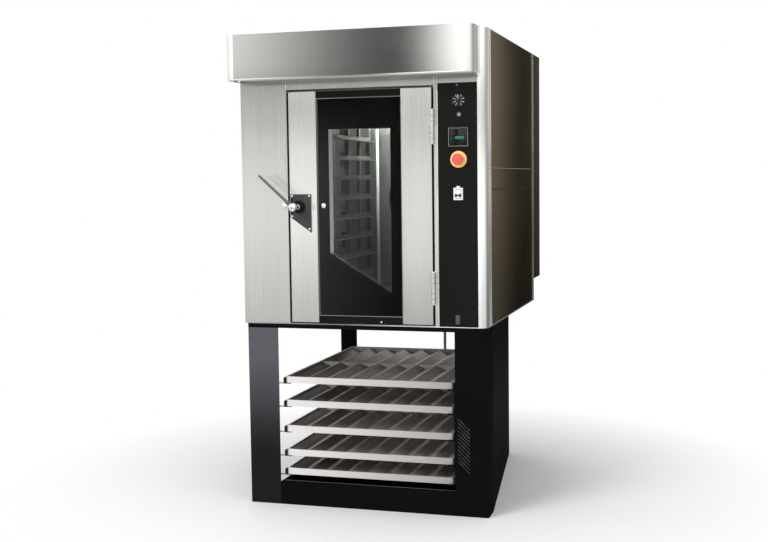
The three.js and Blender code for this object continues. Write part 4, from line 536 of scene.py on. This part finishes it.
def lift(piece, millimetres, test):
    """Moves the vertices that pass the test up or down."""
    choose(piece, "VERT", lambda place, _: test(place))
    bpy.ops.transform.translate(value=(0, 0, millimetres * MM))
    bpy.ops.object.mode_set(mode="OBJECT")
    return piece


def apply_place(piece):
    select_only(piece)
    bpy.ops.object.transform_apply(location=True, rotation=True, scale=True)


print("the drawing's corner is at", [round(value / MM, 1) for value in corner], "mm")

# %% [markdown]
# ### Slabs and hoops
# Most fittings of an oven are one of three shapes. The first is a slab, a stretched cube with its
# edges rounded by a bevel. The second is a hoop, a cube that keeps only some of its sides, which a
# Solidify modifier then gives their thickness, because bent sheet is made that way too.

# %% Slabs and hoops
def soften(piece, width):
    """Rounds the sharp edges with a bevel, which is applied."""
    bevel = piece.modifiers.new("edges", "BEVEL")
    bevel.width, bevel.segments, bevel.limit_method = width * MM, 2, "ANGLE"
    select_only(piece)
    bpy.ops.object.modifier_apply(modifier=bevel.name)
    return piece


def slab(x, y, z, edge=0.3):
    """A block from its three pairs of limits, with softened edges."""
    select_only()
    low, high = at(x[0], y[0], z[0]), at(x[1], y[1], z[1])
    bpy.ops.mesh.primitive_cube_add(size=1, location=(low + high) / 2)
    piece = bpy.context.object
    piece.scale = high - low
    apply_place(piece)
    return soften(piece, edge) if edge else piece


def hoop(x, y, z, taken, thickness, rounded=None, reshape=None):
    """A block without the sides named in taken, which are directions, and with a thickness.
    Upright edges that pass the test in rounded are first rounded by its radius."""
    piece = slab(x, y, z, edge=0)
    if rounded:
        radius, test = rounded
        choose(piece, "EDGE", lambda middle, along: abs(along.z) > NEARLY and test(middle))
        bpy.ops.mesh.bevel(offset=radius * MM, segments=8)
        bpy.ops.object.mode_set(mode="OBJECT")
    if reshape:
        reshape(piece)
    for side in taken:
        choose(piece, "FACE", lambda centre, normal: normal.dot(Vector(side)) > NEARLY)
        bpy.ops.mesh.delete(type="FACE")
        bpy.ops.object.mode_set(mode="OBJECT")
    sheet = piece.modifiers.new("sheet", "SOLIDIFY")
    sheet.thickness, sheet.offset = thickness * MM, 1
    bpy.ops.object.modifier_apply(modifier=sheet.name)
    return piece

# %% [markdown]
# ### Turned pieces
# The third shape is turned, as on a lathe. It grows from a circle, ring by ring: each ring is
# extruded upwards and then scaled. That keeps the rings round and lets a profile be read from the
# list of its radii and heights.

# %% Turned pieces
FORWARD, BACKWARD, UPWARD = (math.radians(90), 0, 0), (math.radians(-90), 0, 0), (0, 0, 0)


def turned(profile, foot, sides=28, tilt=FORWARD, hollow=False):
    """A turned piece on a foot in drawing millimetres. Each pair of radius and height is a ring.
    A hollow piece has a profile that ends where it began."""
    select_only()
    radius, height = profile[0]
    bpy.ops.mesh.primitive_circle_add(vertices=sides, radius=radius * MM,
                                      location=(0, 0, height * MM),
                                      fill_type="NOTHING" if hollow else "NGON")
    piece = bpy.context.object
    apply_place(piece)
    bpy.ops.object.mode_set(mode="EDIT")
    bpy.ops.mesh.select_mode(type="VERT")
    bpy.ops.mesh.select_all(action="SELECT")
    for (radius, height), (next_radius, next_height) in zip(profile, profile[1:]):
        bpy.ops.mesh.extrude_region_move(
            TRANSFORM_OT_translate={"value": (0, 0, (next_height - height) * MM)})
        share = next_radius / radius
        bpy.ops.transform.resize(value=(share, share, 1), center_override=(0, 0, next_height * MM))
    bpy.ops.mesh.select_all(action="SELECT")
    if hollow:
        bpy.ops.mesh.remove_doubles(threshold=0.01 * MM)
    bpy.ops.mesh.normals_make_consistent(inside=False)
    bpy.ops.object.mode_set(mode="OBJECT")
    piece.rotation_euler = tilt
    piece.location = at(*foot)
    apply_place(piece)
    return piece

# %% [markdown]
# ### Copies and the last steps
# What repeats is modelled once and copied, each copy with its own mesh. Every piece ends in the
# same way: its place goes into its mesh, its sharp edges stay sharp under smooth shading, and it
# gets its finish and the body that carries it when a joint moves.

# %% Copies and the last steps
SHARP = math.radians(35)  # edges that turn by more than this stay sharp


def merge(pieces):
    select_only(*pieces)
    bpy.ops.object.join()
    return pieces[0]


def repeat(piece, steps):
    """Joins a piece with copies of itself, moved by steps in millimetres."""
    made = [piece]
    for step in steps:
        select_only(piece)
        bpy.ops.object.duplicate()
        bpy.context.object.location = Vector(step) * MM
        made.append(bpy.context.object)
    return merge(made)


def done(piece, name, finish, body):
    """Finishes a piece: its place, its shading, its finish and the body that it rides on."""
    apply_place(piece)
    bpy.ops.object.shade_smooth_by_angle(angle=SHARP)
    piece.name = piece.data.name = name
    piece.data.materials.clear()
    piece.data.materials.append(finish)
    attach(piece, body)
    print(f"{name}: {len(piece.data.polygons)} faces, rides on {body}")
    return piece


# %% [markdown]
# ## Hood and cabinet edges
# Bent sheet shows a bright line wherever it folds, because the fold mirrors the lights at every
# angle. The hood's lower edge, the door opening and the foot of the cabinet have such lines. Each
# is a thin hoop, a little proud of the sheet, since a line in the finish would have no edge.

# %% Hood and cabinet edges
LEFT, RIGHT, FRONT, BACK = (-1, 0, 0), (1, 0, 0), (0, -1, 0), (0, 1, 0)
TOP, BOTTOM = (0, 0, 1), (0, 0, -1)
PROUD = (-1.1, -0.1)
hood_edge = hoop((-11, 918), (-118, -1), (1601, 1605), [TOP, BOTTOM, BACK], 0.9,
                 rounded=(35, lambda middle: middle.y < at(0, -60, 0).y))
done(hood_edge, "hood_edge", steel_bright, "root")

opening_edge = hoop((184, 747), (-1.1, 0.2), (697.5, 1567.5), [FRONT, BACK], 1.9)
done(opening_edge, "opening_edge", steel_bright, "root")

seams = merge([slab((left, right), PROUD, (foot, 1600.6), 0.2) for left, right, foot in
               ((182.1, 184, 1570), (748, 749.6, 1570), (759.4, 761, 697))])
done(seams, "front_seams", steel_bright, "root")

# %% [markdown]
# Inside the hood, a shallow baffle keeps steam off the front. Its middle is pressed in, which an
# inset and a small move upwards make from one face of a slab.

# %% Baffle and foot edge
baffle = slab((4, 903), (-100, -4), (1606, 1609), 0)
choose(baffle, "FACE", lambda centre, normal: normal.z < -0.9)
bpy.ops.mesh.inset(thickness=14 * MM)
bpy.ops.transform.translate(value=(0, 0, 2 * MM))
bpy.ops.object.mode_set(mode="OBJECT")
done(soften(baffle, 0.4), "hood_baffle", aluminium_painted_bright, "root")

right_front = (30, lambda middle: middle.y < at(0, 60, 0).y and middle.x > at(500, 0, 0).x)
foot_edge = hoop((0, 940), (0, 1014), (694.6, 698.6), [TOP, BOTTOM, BACK], 0.8,
                 rounded=right_front)
done(foot_edge, "cabinet_foot_edge", steel_bright, "root")

# %% [markdown]
# The right side ends in two folds at the back, and the corner sheet in two folds at the front. Each
# pair is one narrow slab and its copy, as high as the side.

# %% Side folds
SIDE_HEIGHT = (699, 1762)
rear_fold = slab((940.1, 941.1), (976, 979), SIDE_HEIGHT)
done(repeat(rear_fold, [(0, 27, 0)]), "side_rear_folds", steel_upright, "root")
front_fold = slab((940.1, 941.3), (40, 43.5), SIDE_HEIGHT)
done(repeat(front_fold, [(0, 29, 0)]), "side_front_folds", steel_upright, "root")

# %% [markdown]
# Each side has three sheets, one above the other. Their joints show as thin dark lines, and at the
# upper one the sheet's fold catches the light. Left and right are alike, so a loop makes both.

# %% Side joints
SHEET_DEPTH = (73, 975)
JOINTS = (1190.2, 1192.6), (1266.2, 1267.8)
for name, wide in (("right", (940.05, 940.75)), ("left", (-0.75, -0.05))):
    fold = slab(wide, SHEET_DEPTH, (1268.2, 1269.8), 0.2)
    done(fold, f"side_fold_{name}", steel_upright, "root")
    joints = merge([slab(wide, SHEET_DEPTH, high, 0.2) for high in JOINTS])
    done(joints, f"side_joints_{name}", silicone_black, "root")

# %% [markdown]
# ## Rods of the rack
# Two bright rods at the back of the rack keep its trays from sliding out as it turns. Each of its
# ladders is stiffened by one more upright between the middle and the back. A long slab with well
# rounded edges is close enough to a rod here, because only the window shows it.

# %% Rods of the rack
stop_rod = slab((292, 304), (780.2, 790.2), (774, 1477), 3)
done(repeat(stop_rod, [(344, 0, 0)]), "rack_stops", aluminium_painted_bright, "rack")
stiffener = slab((254, 267), (628, 641), (788, 1463), 2)
done(repeat(stiffener, [(419, 0, 0)]), "rack_stiffeners", steel_rack, "rack")

# %% [markdown]
# ## Back and roof
# The drive's casing at the back is held by screws, and each of its vents has a small rain lip. The
# roof sheet is screwed down along its edges. A screw's head is turned, with a hollow for its drive,
# and one head is copied to every place.

# %% Screws and vent lips
SCREW_HEAD = [(6, 0), (6, 1.2), (4.6, 2.8), (2.4, 3.4), (1.8, 2.4), (0.5, 2.4)]
screw = turned(SCREW_HEAD, (30, 1180.9, 830), sides=18, tilt=BACKWARD)
# The first place is the screw's own, and the one left out is among the vents.
screws = repeat(screw, [(x, 0, z) for x in (0, 440, 880) for z in (0, 300, 600, 900)
                        if (x, z) not in ((0, 0), (440, 300))])
done(screws, "casing_screws", steel_rack, "root")

VENT_STEP, VENTS = 30, 8
lip = slab((336, 604), (1180.8, 1186), (1045.6, 1047), 0)
lift(lip, -4, lambda place: place.y > at(0, 1183, 0).y)
lips = repeat(soften(lip, 0.4), [(0, 0, VENT_STEP * i) for i in range(1, VENTS)])
done(lips, "casing_vent_lips", bronze_flat, "root")

screw = turned(SCREW_HEAD, (25, 60, 1764.9), sides=18, tilt=UPWARD)
screws = repeat(screw, [(x, y, 0) for x in (0, 890) for y in (0, 300, 600, 900) if x or y])
done(screws, "roof_screws", steel_rack, "root")

# %% [markdown]
# The flue has a rolled rim, and the cable gland a nut. Both are hollow, so their profiles go round
# and end where they began. With six sides, a turned piece is a nut.

# %% Flue rim and gland nut
rim = turned([(58.2, 0), (60.2, 0), (63, 1.6), (63.6, 4), (62, 6.4), (60, 7), (58.2, 6.2),
              (58.2, 0)], (740, 800, 1794), sides=48, tilt=UPWARD, hollow=True)
done(rim, "flue_rim", steel_liner, "root")
nut = turned([(14.2, 0), (18, 0), (18, 9), (16.5, 11), (14.2, 11), (14.2, 0)], (150, 1098, 776),
             sides=6, tilt=UPWARD, hollow=True)
done(nut, "gland_nut", plastic_black, "root")

# %% [markdown]
# ## Stand
# The vents in the right post are louvres: the sheet's lower edge stands out of each slot as a thin
# slanted lip, grey on the black post as a painted highlight. One level slab has its right end
# lowered and is copied. The plinth has a narrow grey fold along the back of its ledge, also a
# painted highlight, and the base a lip along its left side.

# %% Stand
LOUVRE_STEP, LOUVRES = 14.3, 12
lip = slab((825.6, 870.4), (-0.9, 0.6), (361.2, 363), 0)
lift(lip, -43, lambda place: place.x > at(850, 0, 0).x)
louvre_highlights = repeat(soften(lip, 0.25), [(0, 0, -LOUVRE_STEP * i) for i in range(1, LOUVRES)])
done(louvre_highlights, "post_louvres_painted_highlight", grey_coat_and_painted_highlight, "root")
# Painted highlight: a grey strip along the back of the black plinth's ledge.
ledge_highlight = slab((133, 816), (17.5, 20.6), (86, 89.6), 0.5)
done(ledge_highlight, "plinth_fold_painted_highlight", grey_coat_and_painted_highlight, "root")
side_lip = slab((132.4, 156), (3, 845.5), (84.6, 87.4), 0.3)
done(side_lip, "base_side_lip", powder_black, "root")

# %% [markdown]
# ## Door
# The window's edge is an aluminium spacer between the two panes, with a black sill along its
# slanted
# bottom: a dark sheet that paints the shade lying there. Both are hoops that keep different sides,
# with the left lower edge lifted, so that the bottom slants like the mask's.

# %% Window spacer
def slant(piece):
    lift(piece, 148, lambda place: place.x < at(400, 0, 0).x and place.z < at(0, 0, 900).z)


SLANTED = (-0.53, 0, -0.848)
WINDOW = (347, 584), (0.6, 43), (815, 1419)
spacer = hoop(*WINDOW, [FRONT, BACK, SLANTED], 1.5, reshape=slant)
done(spacer, "window_spacer", aluminium_painted_bright, "door")
# Painted shade: a black sheet where the window's slanted bottom lies in shade.
shade_sill = hoop(*WINDOW, [FRONT, BACK, LEFT, RIGHT, TOP], 1.5, reshape=slant)
done(shade_sill, "window_sill_painted_shade", enamel_black, "door")

# %% [markdown]
# The outer pane has a steel rail along its top and its bottom, and a ground strip along its free
# edge. They are slabs that ride on the pane's own body, so that they swing with it.

# %% Glass rails
rail = slab((299.3, 623.4), (-4.7, -4.1), (1531.2, 1533.4), 0.15)
rail = repeat(rail, [(0, 0, 731 - 1533.4)])
done(rail, "glass_rails", steel_rack, "glass")
strip = slab((299.2, 306.5), (-4.6, -4.1), (732, 1530), 0.2)
done(strip, "glass_edge_strip", grey_coat_and_painted_highlight, "glass")

# %% [markdown]
# The pane is opened by a small turned pull. It stands for the plain knob of the CAD model, so it
# replaces that node. A screw below holds the door's black band.

# %% Pull and band screw
knob = turned([(6.5, 0), (5.2, 2), (5.2, 4), (8.6, 6.5), (9.3, 9), (8.6, 11.5), (6, 13.4),
               (3, 14.3), (0.6, 14.5)], (329, -4.3, 1139))
done(knob, "glass_pull", steel_bright, "glass")
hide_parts("glass_knob")

band_screw = turned([(4, 0), (4, 0.8), (3, 1.8), (0.6, 2.1)], (541, 0.4, 709))
done(band_screw, "door_band_screw", steel_bright, "door")

# %% [markdown]
# ### Handle
# The lever is a tapered rod with a rounded end, held by a clamp on the spindle. A screw with a ball
# end tightens the clamp. All are turned, the rod about its own length and then tilted.

# %% Lever and clamp
LEVER_TILT, CLAMP_TILT = math.radians(48), math.radians(80)
SPINDLE_X, SPINDLE_Z = 227, 1135
lever = turned([(5.6, 11), (5.6, 14), (5.3, 60), (4.9, 120), (4.5, 171), (3.7, 175), (2.2, 177.2),
                (0.5, 177.9)], (SPINDLE_X, -69, SPINDLE_Z), sides=20, tilt=(0, -LEVER_TILT, 0))
done(lever, "lever_rod", steel_rod, "handle")
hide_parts("handle_lever")

clamp_cap = turned([(12.6, 0), (15.5, 1.5), (15.5, 13), (14, 17), (11, 19.6), (7, 21.2), (3, 21.8),
                    (0.6, 21.8)], (SPINDLE_X, -60.6, SPINDLE_Z))
screw = turned([(4, 9), (4, 19), (7.5, 21.5), (10.6, 26), (11.6, 31), (10.6, 36), (7, 40),
                (0.5, 41.8)], (SPINDLE_X, -68, SPINDLE_Z + 1), sides=20, tilt=(0, -CLAMP_TILT, 0))
done(merge([clamp_cap, screw]), "handle_clamp", steel_bright, "handle")
collar = turned([(6, 0), (9.4, 0), (9.4, 4), (8.2, 5.2), (6, 5.2), (6, 0)],
                (SPINDLE_X, -16.1, SPINDLE_Z), hollow=True)
done(collar, "handle_collar", steel_hinge, "handle")

# %% [markdown]
# The spindle turns in a black bush on a grey plate. The plate has four screws, of which the lower
# two follow its slanted edge, and a dark strip near its left edge. These stay with the door.

# %% Handle plate fittings
bush = turned([(8, 0), (23.5, 0), (23.5, 8), (21, 13.2), (8, 13.2), (8, 0)],
              (SPINDLE_X, -2.7, SPINDLE_Z), hollow=True)
# A dark strip on the plate, near its left edge.
plate_dark_strip = slab((196.6, 202.4), (-3.3, -2.6), (1108, 1168), 0.2)
done(merge([bush, plate_dark_strip]), "handle_bush", silicone_black, "door")

PLATE_SCREWS = [(200, 1175), (268, 1175), (200, 1100), (268, 1052)]
first_x, first_z = PLATE_SCREWS[0]
head = turned([(4.6, 0), (4.6, 1), (3.8, 2.2), (2.2, 2.9), (1.6, 2.2), (0.5, 2.2)],
              (first_x, -2.7, first_z), sides=18)
heads = repeat(head, [(x - first_x, 0, z - first_z) for x, z in PLATE_SCREWS[1:]])
done(heads, "handle_plate_screws", steel_bright, "door")

# %% [markdown]
# ### Hinges
# Each hinge is a barrel of knuckles round a pin. Thin dark joints part the knuckles, and the pin
# has a domed cap at each end. The upper half turns with the door, so each half gets its own
# pieces, on its own body.

# %% Hinges
HINGES = {"top": (1359.8, 1480.8), "bottom": (779.8, 894.8)}
PIN_X, PIN_Y = 742.5, -9
FIRST_JOINT, KNUCKLE = 18, 20
for name, (low, high) in HINGES.items():
    middle = (low + high) / 2
    for body, first, end, turn in (("root", low, low, math.pi), ("door", middle, high, 0)):
        joint = turned([(7.6, 0), (8.35, 0), (8.35, 1.2), (7.6, 1.2), (7.6, 0)],
                       (PIN_X, PIN_Y, first + FIRST_JOINT), sides=24, tilt=UPWARD, hollow=True)
        joint = repeat(joint, [(0, 0, KNUCKLE)])
        done(joint, f"hinge_{name}_joints_{body}", grey_coat_and_painted_highlight, body)
        cap = turned([(8.2, 0), (8.2, 1.5), (6.5, 3.2), (3.5, 4.2), (0.5, 4.4)],
                     (PIN_X, PIN_Y, end), sides=24, tilt=(turn, 0, 0))
        done(cap, f"hinge_{name}_cap_{body}", steel_bright, body)

# %% [markdown]
# ## Control panel
# The dial has silver ribs, like the spokes of a hand wheel, and a bright line on its grip. Fine
# ticks stand round it. One rib and one tick are modelled and copied round the dial's middle.

# %% Dial
DIAL = (840, 1510.3)
DIAL_FACE = -7.8


def around(piece, centre, turns):
    """Joins copies of a piece, each turned about the front-to-back line through a centre."""
    made = []
    for turn in turns:
        select_only(piece)
        bpy.ops.object.duplicate()
        bpy.ops.transform.rotate(value=math.radians(turn), orient_axis="Y",
                                 center_override=at(centre[0], 0, centre[1]))
        made.append(bpy.context.object)
    bpy.data.objects.remove(piece)
    for copy in made:
        apply_place(copy)
    return merge(made)


rib = slab((850, 862), (DIAL_FACE - 1.2, DIAL_FACE + 0.4), (1509.6, 1511), 0.2)
ribs = around(rib, DIAL, (-60, -20, 20, 60, 120, 160, 200, 240))
pointer = slab((839.2, 840.8), (-14.3, -13.7), (1512, 1530), 0.2)
done(merge([ribs, pointer]), "dial_ribs", steel_bright, "dial")
tick = slab((868.5, 871.5), (-1.95, -1.45), (1509.8, 1510.8), 0.1)
done(around(tick, DIAL, range(-30, 211, 30)), "dial_ticks", grey_coat_and_painted_highlight, "root")

# %% [markdown]
# Under the dial is the signal lamp, a domed lens in a dark bezel. A screw holds the panel's top.

# %% Signal lamp and panel screw
LAMP_X, LAMP_Z = 841, 1460.3
bezel = turned([(4.3, 0), (9.5, 0), (9.5, 1.5), (8, 3.2), (4.3, 3.2), (4.3, 0)],
               (LAMP_X, -4.4, LAMP_Z), hollow=True)
done(bezel, "lamp_bezel", grey_coat_and_painted_highlight, "root")
lens = turned([(3.9, 0), (3.9, 2.5), (3.2, 4.2), (1.9, 5.0), (0.4, 5.3)], (LAMP_X, -4.6, LAMP_Z))
done(lens, "lamp_lens", lamp_warm, "root")
panel_screw = turned([(3.4, 0), (3.4, 0.6), (2.4, 1.6), (1.4, 1.9), (0.9, 1.3), (0.4, 1.3)],
                     (833, -1.6, 1565), sides=18)
done(panel_screw, "panel_screw", steel_rack, "root")

# %% [markdown]
# The temperature controller is a dark window in a thin silver bezel. Its readout is lit green, and
# four keys stand under it. It is built from its middle, so that it could be moved as a whole.

# %% Temperature controller
x, z = 838, 1381.3
bezel = hoop((x - 34.4, x + 34.4), (-8.9, -6.6), (z - 32.4, z + 30.4), [FRONT, BACK], 1.3)
done(bezel, "controller_bezel", steel_upright, "root")
screen = slab((x - 31.5, x + 31.5), (-7.3, -6.1), (z - 29.5, z + 27.5), 0.3)
done(screen, "controller_screen", screen_glass, "root")
readout = slab((x - 11, x + 21), (-7.7, -7.2), (z - 8, z + 2), 0.2)
done(readout, "controller_readout", readout_green, "root")
key = turned([(3.2, 0), (3.2, 0.8), (2.4, 1.5), (0.5, 1.7)], (x - 18, -7.3, z - 22), sides=16)
keys = repeat(key, [(12, 0, 0), (24, 0, 0), (36, 0, 0)])
done(keys, "controller_keys", plastic_black, "root")

# %% [markdown]
# The stop button is a red mushroom head in a yellow ring. Both are turned pieces that stand for the
# plain ones of the CAD model.

# %% Stop button
STOP_X, STOP_Z = 838, 1301.3
ring = turned([(12, 0), (30, 0), (30, 3.6), (28.6, 5.6), (25, 7), (14.5, 6.4), (12, 5), (12, 0)],
              (STOP_X, -1.8, STOP_Z), sides=48, hollow=True)
done(ring, "stop_ring_turned", plastic_yellow, "root")
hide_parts("stop_ring")
stop_front, stop_back = ((limit.y - corner.y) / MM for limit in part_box("stop_button"))
reach = stop_back - stop_front
from_tip = [(10.8, 14), (14, 11.6), (19, 9.6), (20, 7.8), (20, 4.6), (18.6, 2.4), (15, 0.9),
            (9, 0.2), (0.6, 0)]
head = turned([(10.8, 0)] + [(radius, reach - depth) for radius, depth in from_tip],
              (STOP_X, stop_back, STOP_Z), sides=48)
done(head, "stop_head_turned", plastic_red, "stop")
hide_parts("stop_button")

# %% [markdown]
# The rocker switch carries two black marks with a bar between them, and the tab at the panel's foot
# has two ribs to grip it by. All of these are low slabs.

# %% Rocker switch and pull tab
mark = slab((824.5, 833), (-10.4, -9.6), (1167, 1178), 0.4)
bar = slab((832, 840), (-10.3, -9.75), (1170.5, 1174.5), 0.1)
marks = merge([repeat(mark, [(14.5, 0, 0)]), bar])
done(marks, "rocker_marks", plastic_black, "rocker")
TAB_HEIGHT = (708, 741.5)
tab = merge([slab(wide, deep, TAB_HEIGHT) for wide, deep in
             (((823, 839), (-5.2, -4.4)), ((826, 827.6), (-6, -5.1)), ((834.4, 836), (-6, -5.1)))])
done(tab, "tab_grip", grey_coat_and_painted_highlight, "root")

# %% [markdown]
# ## Studio
# The floor is a pale sheet that keeps the oven's shadow. Further out it fades to the white of the
# backdrop, by how far a point is from the oven, so that no edge of the floor shows. The camera,
# the metals and the glass see the fade, and the lamps' light doesn't.

# %% Floor
FLOOR_RADIUS, FADE_START, FADE_END = 3.2, 0.6, 1.6
select_only()
bpy.ops.mesh.primitive_circle_add(vertices=96, radius=FLOOR_RADIUS, fill_type="NGON",
                                  location=(0, 0, 0))
floor = bpy.context.object
floor.name = "studio_floor"
floor_paint, tree, shader, place = surface("pale_floor", "#EFEEEC", 0.0, 0.6,
                                           Specular_IOR_Level=0.1)
dust = add(tree, "TexNoise", {"Vector": place, "Scale": 3.0, "Detail": 6.0})
dusty = add(tree, "Mix", {"Factor": dust, "A": linear("#F3F2F1"), "B": linear("#F9F8F7")},
            data_type="RGBA")
plug(tree, shader, {"Base Color": dusty})
distance = add(tree, "VectorMath", {0: place}, operation="LENGTH")
far = add(tree, "MapRange", {"Value": distance, **between(FADE_START, FADE_END)})
path = add(tree, "LightPath").outputs
seen = add(tree, "Math", {0: path["Is Camera Ray"], 1: path["Is Glossy Ray"]}, operation="MAXIMUM")
seen = add(tree, "Math", {0: seen, 1: path["Is Transmission Ray"]}, operation="MAXIMUM")
fade = add(tree, "Math", {0: seen, 1: far}, operation="MULTIPLY")
white = add(tree, "Emission", {"Color": grey(1), "Strength": 1.0})
faded = add(tree, "MixShader", {0: fade, 1: shader, 2: white})
plug(tree, tree.nodes["Material Output"], {"Surface": faded})
floor.data.materials.append(floor_paint)
print("the floor fades between", FADE_START, "and", FADE_END, "m")

# %% [markdown]
# Polished metal looks like what it mirrors, so the studio's walls are drawn in the world. Their
# brightness follows the compass angle. In front of the oven stands a bright soft box, and to the
# left of that a dark flag. The hood mirrors both, and so does the glass of the door. Behind the
# oven on the right stands a second dark flag, which the tinted side mirrors. Angles are in degrees:
# in front from the oven's middle line to the left, and behind from it to the right.

# %% Walls by the compass
world = bpy.data.worlds.new("studio")
bpy.context.scene.world = world
world.use_nodes = True
sky = world.node_tree
direction = add(sky, "TexCoord").outputs["Generated"]
part = add(sky, "SeparateXYZ", {0: direction}).outputs


def wall(side, ahead, stops):
    """Brightness by the angle between two directions. Stops are pairs of degrees and strength."""
    angle = add(sky, "Math", {0: side, 1: ahead}, operation="ARCTAN2")
    first, last = stops[0][0], stops[-1][0]
    share = add(sky, "MapRange",
                {"Value": angle, **between(math.radians(first), math.radians(last))})
    span = last - first
    return set_stops(add(sky, "ValToRGB", {0: share}),
                     [((turn - first) / span, grey(strength)) for turn, strength in stops])


to_left = add(sky, "Math", {0: part["X"], 1: -1.0}, operation="MULTIPLY")
to_front = add(sky, "Math", {0: part["Y"], 1: -1.0}, operation="MULTIPLY")
front_wall = wall(to_left, to_front, [
    (-100, 0.5), (-70, 1.2), (-10, 1.5), (12.9, 1.8), (14.4, 0.25), (15.2, 0.0), (16.5, 0.06),
    (17.5, 0.12), (19.2, 0.25), (20.7, 0.46), (23.0, 0.78), (24.2, 0.9), (27, 1.6), (70, 1.5),
    (100, 0.9)])
back_wall = wall(part["X"], part["Y"], [
    (-10, 0.95), (0, 0.4), (7.5, 0.3), (9.0, 0.2), (9.3, 0.0), (10.3, 0.0), (11.4, 0.55),
    (14, 0.5), (50, 0.4), (85, 0.5)])

# %% [markdown]
# The walls also change with the height above the horizon. In front the wall is brightest at the
# horizon and falls to black 4 degrees up, and above that it is bright again. The hood mirrors that
# as a slow shading. Behind, the wall only darkens towards the floor. Each pair of ramps is
# multiplied, and far up all is ceiling.

# %% Walls by the height
CEILING = 1.8
flat = add(sky, "VectorMath", {0: direction, 1: (1.0, 1.0, 0.0)}, operation="MULTIPLY")
outward = add(sky, "VectorMath", {0: flat}, operation="LENGTH")
front_level = wall(part["Z"], outward, [
    (-12, 0.42), (-8, 0.55), (-5, 0.78), (-2.5, 1.0), (-1, 1.1), (0.4, 1.1), (1.4, 0.8),
    (2.5, 0.4), (3.4, 0.1), (4.25, 0.03), (4.5, 1.1), (20, 1.1)])
back_level = wall(part["Z"], outward, [
    (-12, 0.3), (-8, 0.38), (-5, 0.55), (-2, 0.8), (1.0, 1.0), (4.0, 1.15), (20, 1.2)])
PRODUCT = {"data_type": "RGBA", "blend_type": "MULTIPLY"}
front_wall = add(sky, "Mix", {"Factor": 1.0, "A": front_wall, "B": front_level}, **PRODUCT)
back_wall = add(sky, "Mix", {"Factor": 1.0, "A": back_wall, "B": back_level}, **PRODUCT)
behind = add(sky, "MapRange", {"Value": part["Y"], **between(-0.05, 0.05)})
walls = add(sky, "Mix", {"Factor": behind, "A": front_wall, "B": back_wall}, data_type="RGBA")
overhead = add(sky, "MapRange", {"Value": part["Z"], **between(0.35, 0.6)})
studio_wall = add(sky, "Mix", {"Factor": overhead, "A": walls, "B": grey(CEILING)},
                  data_type="RGBA")

# %% [markdown]
# The world does three jobs, told apart by the kind of ray. Matt surfaces get an even light, glossy
# rays and rays through glass see the walls, and the camera sees plain white. So do rays that pass
# through glass to the back, because the backdrop is behind the oven.

# %% What each ray sees
AMBIENT = 0.62
path = add(sky, "LightPath").outputs
mirrored = add(sky, "Math", {0: path["Is Glossy Ray"], 1: path["Is Transmission Ray"]},
               operation="MAXIMUM")
even = add(sky, "Mix", {"Factor": mirrored, "A": grey(AMBIENT), "B": studio_wall}, data_type="RGBA")
through = add(sky, "Math", {0: path["Is Transmission Ray"], 1: behind}, operation="MULTIPLY")
plain = add(sky, "Math", {0: path["Is Camera Ray"], 1: through}, operation="MAXIMUM")
shown = add(sky, "Mix", {"Factor": plain, "A": even, "B": grey(1)}, data_type="RGBA")
plug(sky, sky.nodes["Background"], {"Color": shown, "Strength": 1.0})
print("the world's nodes:", len(sky.nodes))

# %% [markdown]
# A large soft lamp stands to the left in front and a weaker one to the right. The metals don't
# mirror them, because the walls already hold the bright places. A small one lights the chamber
# from its ceiling near the back, as the oven's own lamp does, and that one is mirrored.

# %% Lamps
SOFT, SMALL = 2.5, 0.12
OVEN_MIDDLE = (0, 0, 0.9)


def lamp(name, place, target, size, watts):
    """A round soft lamp of the given diameter, aimed at a target."""
    light = bpy.data.lights.new(name, "AREA")
    light.shape, light.size, light.energy = "DISK", size, watts
    holder = bpy.data.objects.new(name, light)
    bpy.context.scene.collection.objects.link(holder)
    holder.location = place
    holder.rotation_euler = (Vector(target) - Vector(place)).to_track_quat("-Z", "Y").to_euler()
    holder.visible_glossy = False
    return holder


low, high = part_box("chamber_liner")
chamber_lamp = lamp("chamber_lamp", (low.x + 0.29, high.y - 0.26, high.z - 0.03),
                    (low.x + 0.2, high.y, low.z), SMALL, 3.5)
chamber_lamp.visible_glossy = True
lamp("key_lamp", (-2.2, -4.2, 3.4), OVEN_MIDDLE, SOFT, 150)
lamp("fill_lamp", (3.6, -2.6, 2.2), OVEN_MIDDLE, SOFT, 30)
bpy.context.scene.view_settings.view_transform = "Standard"
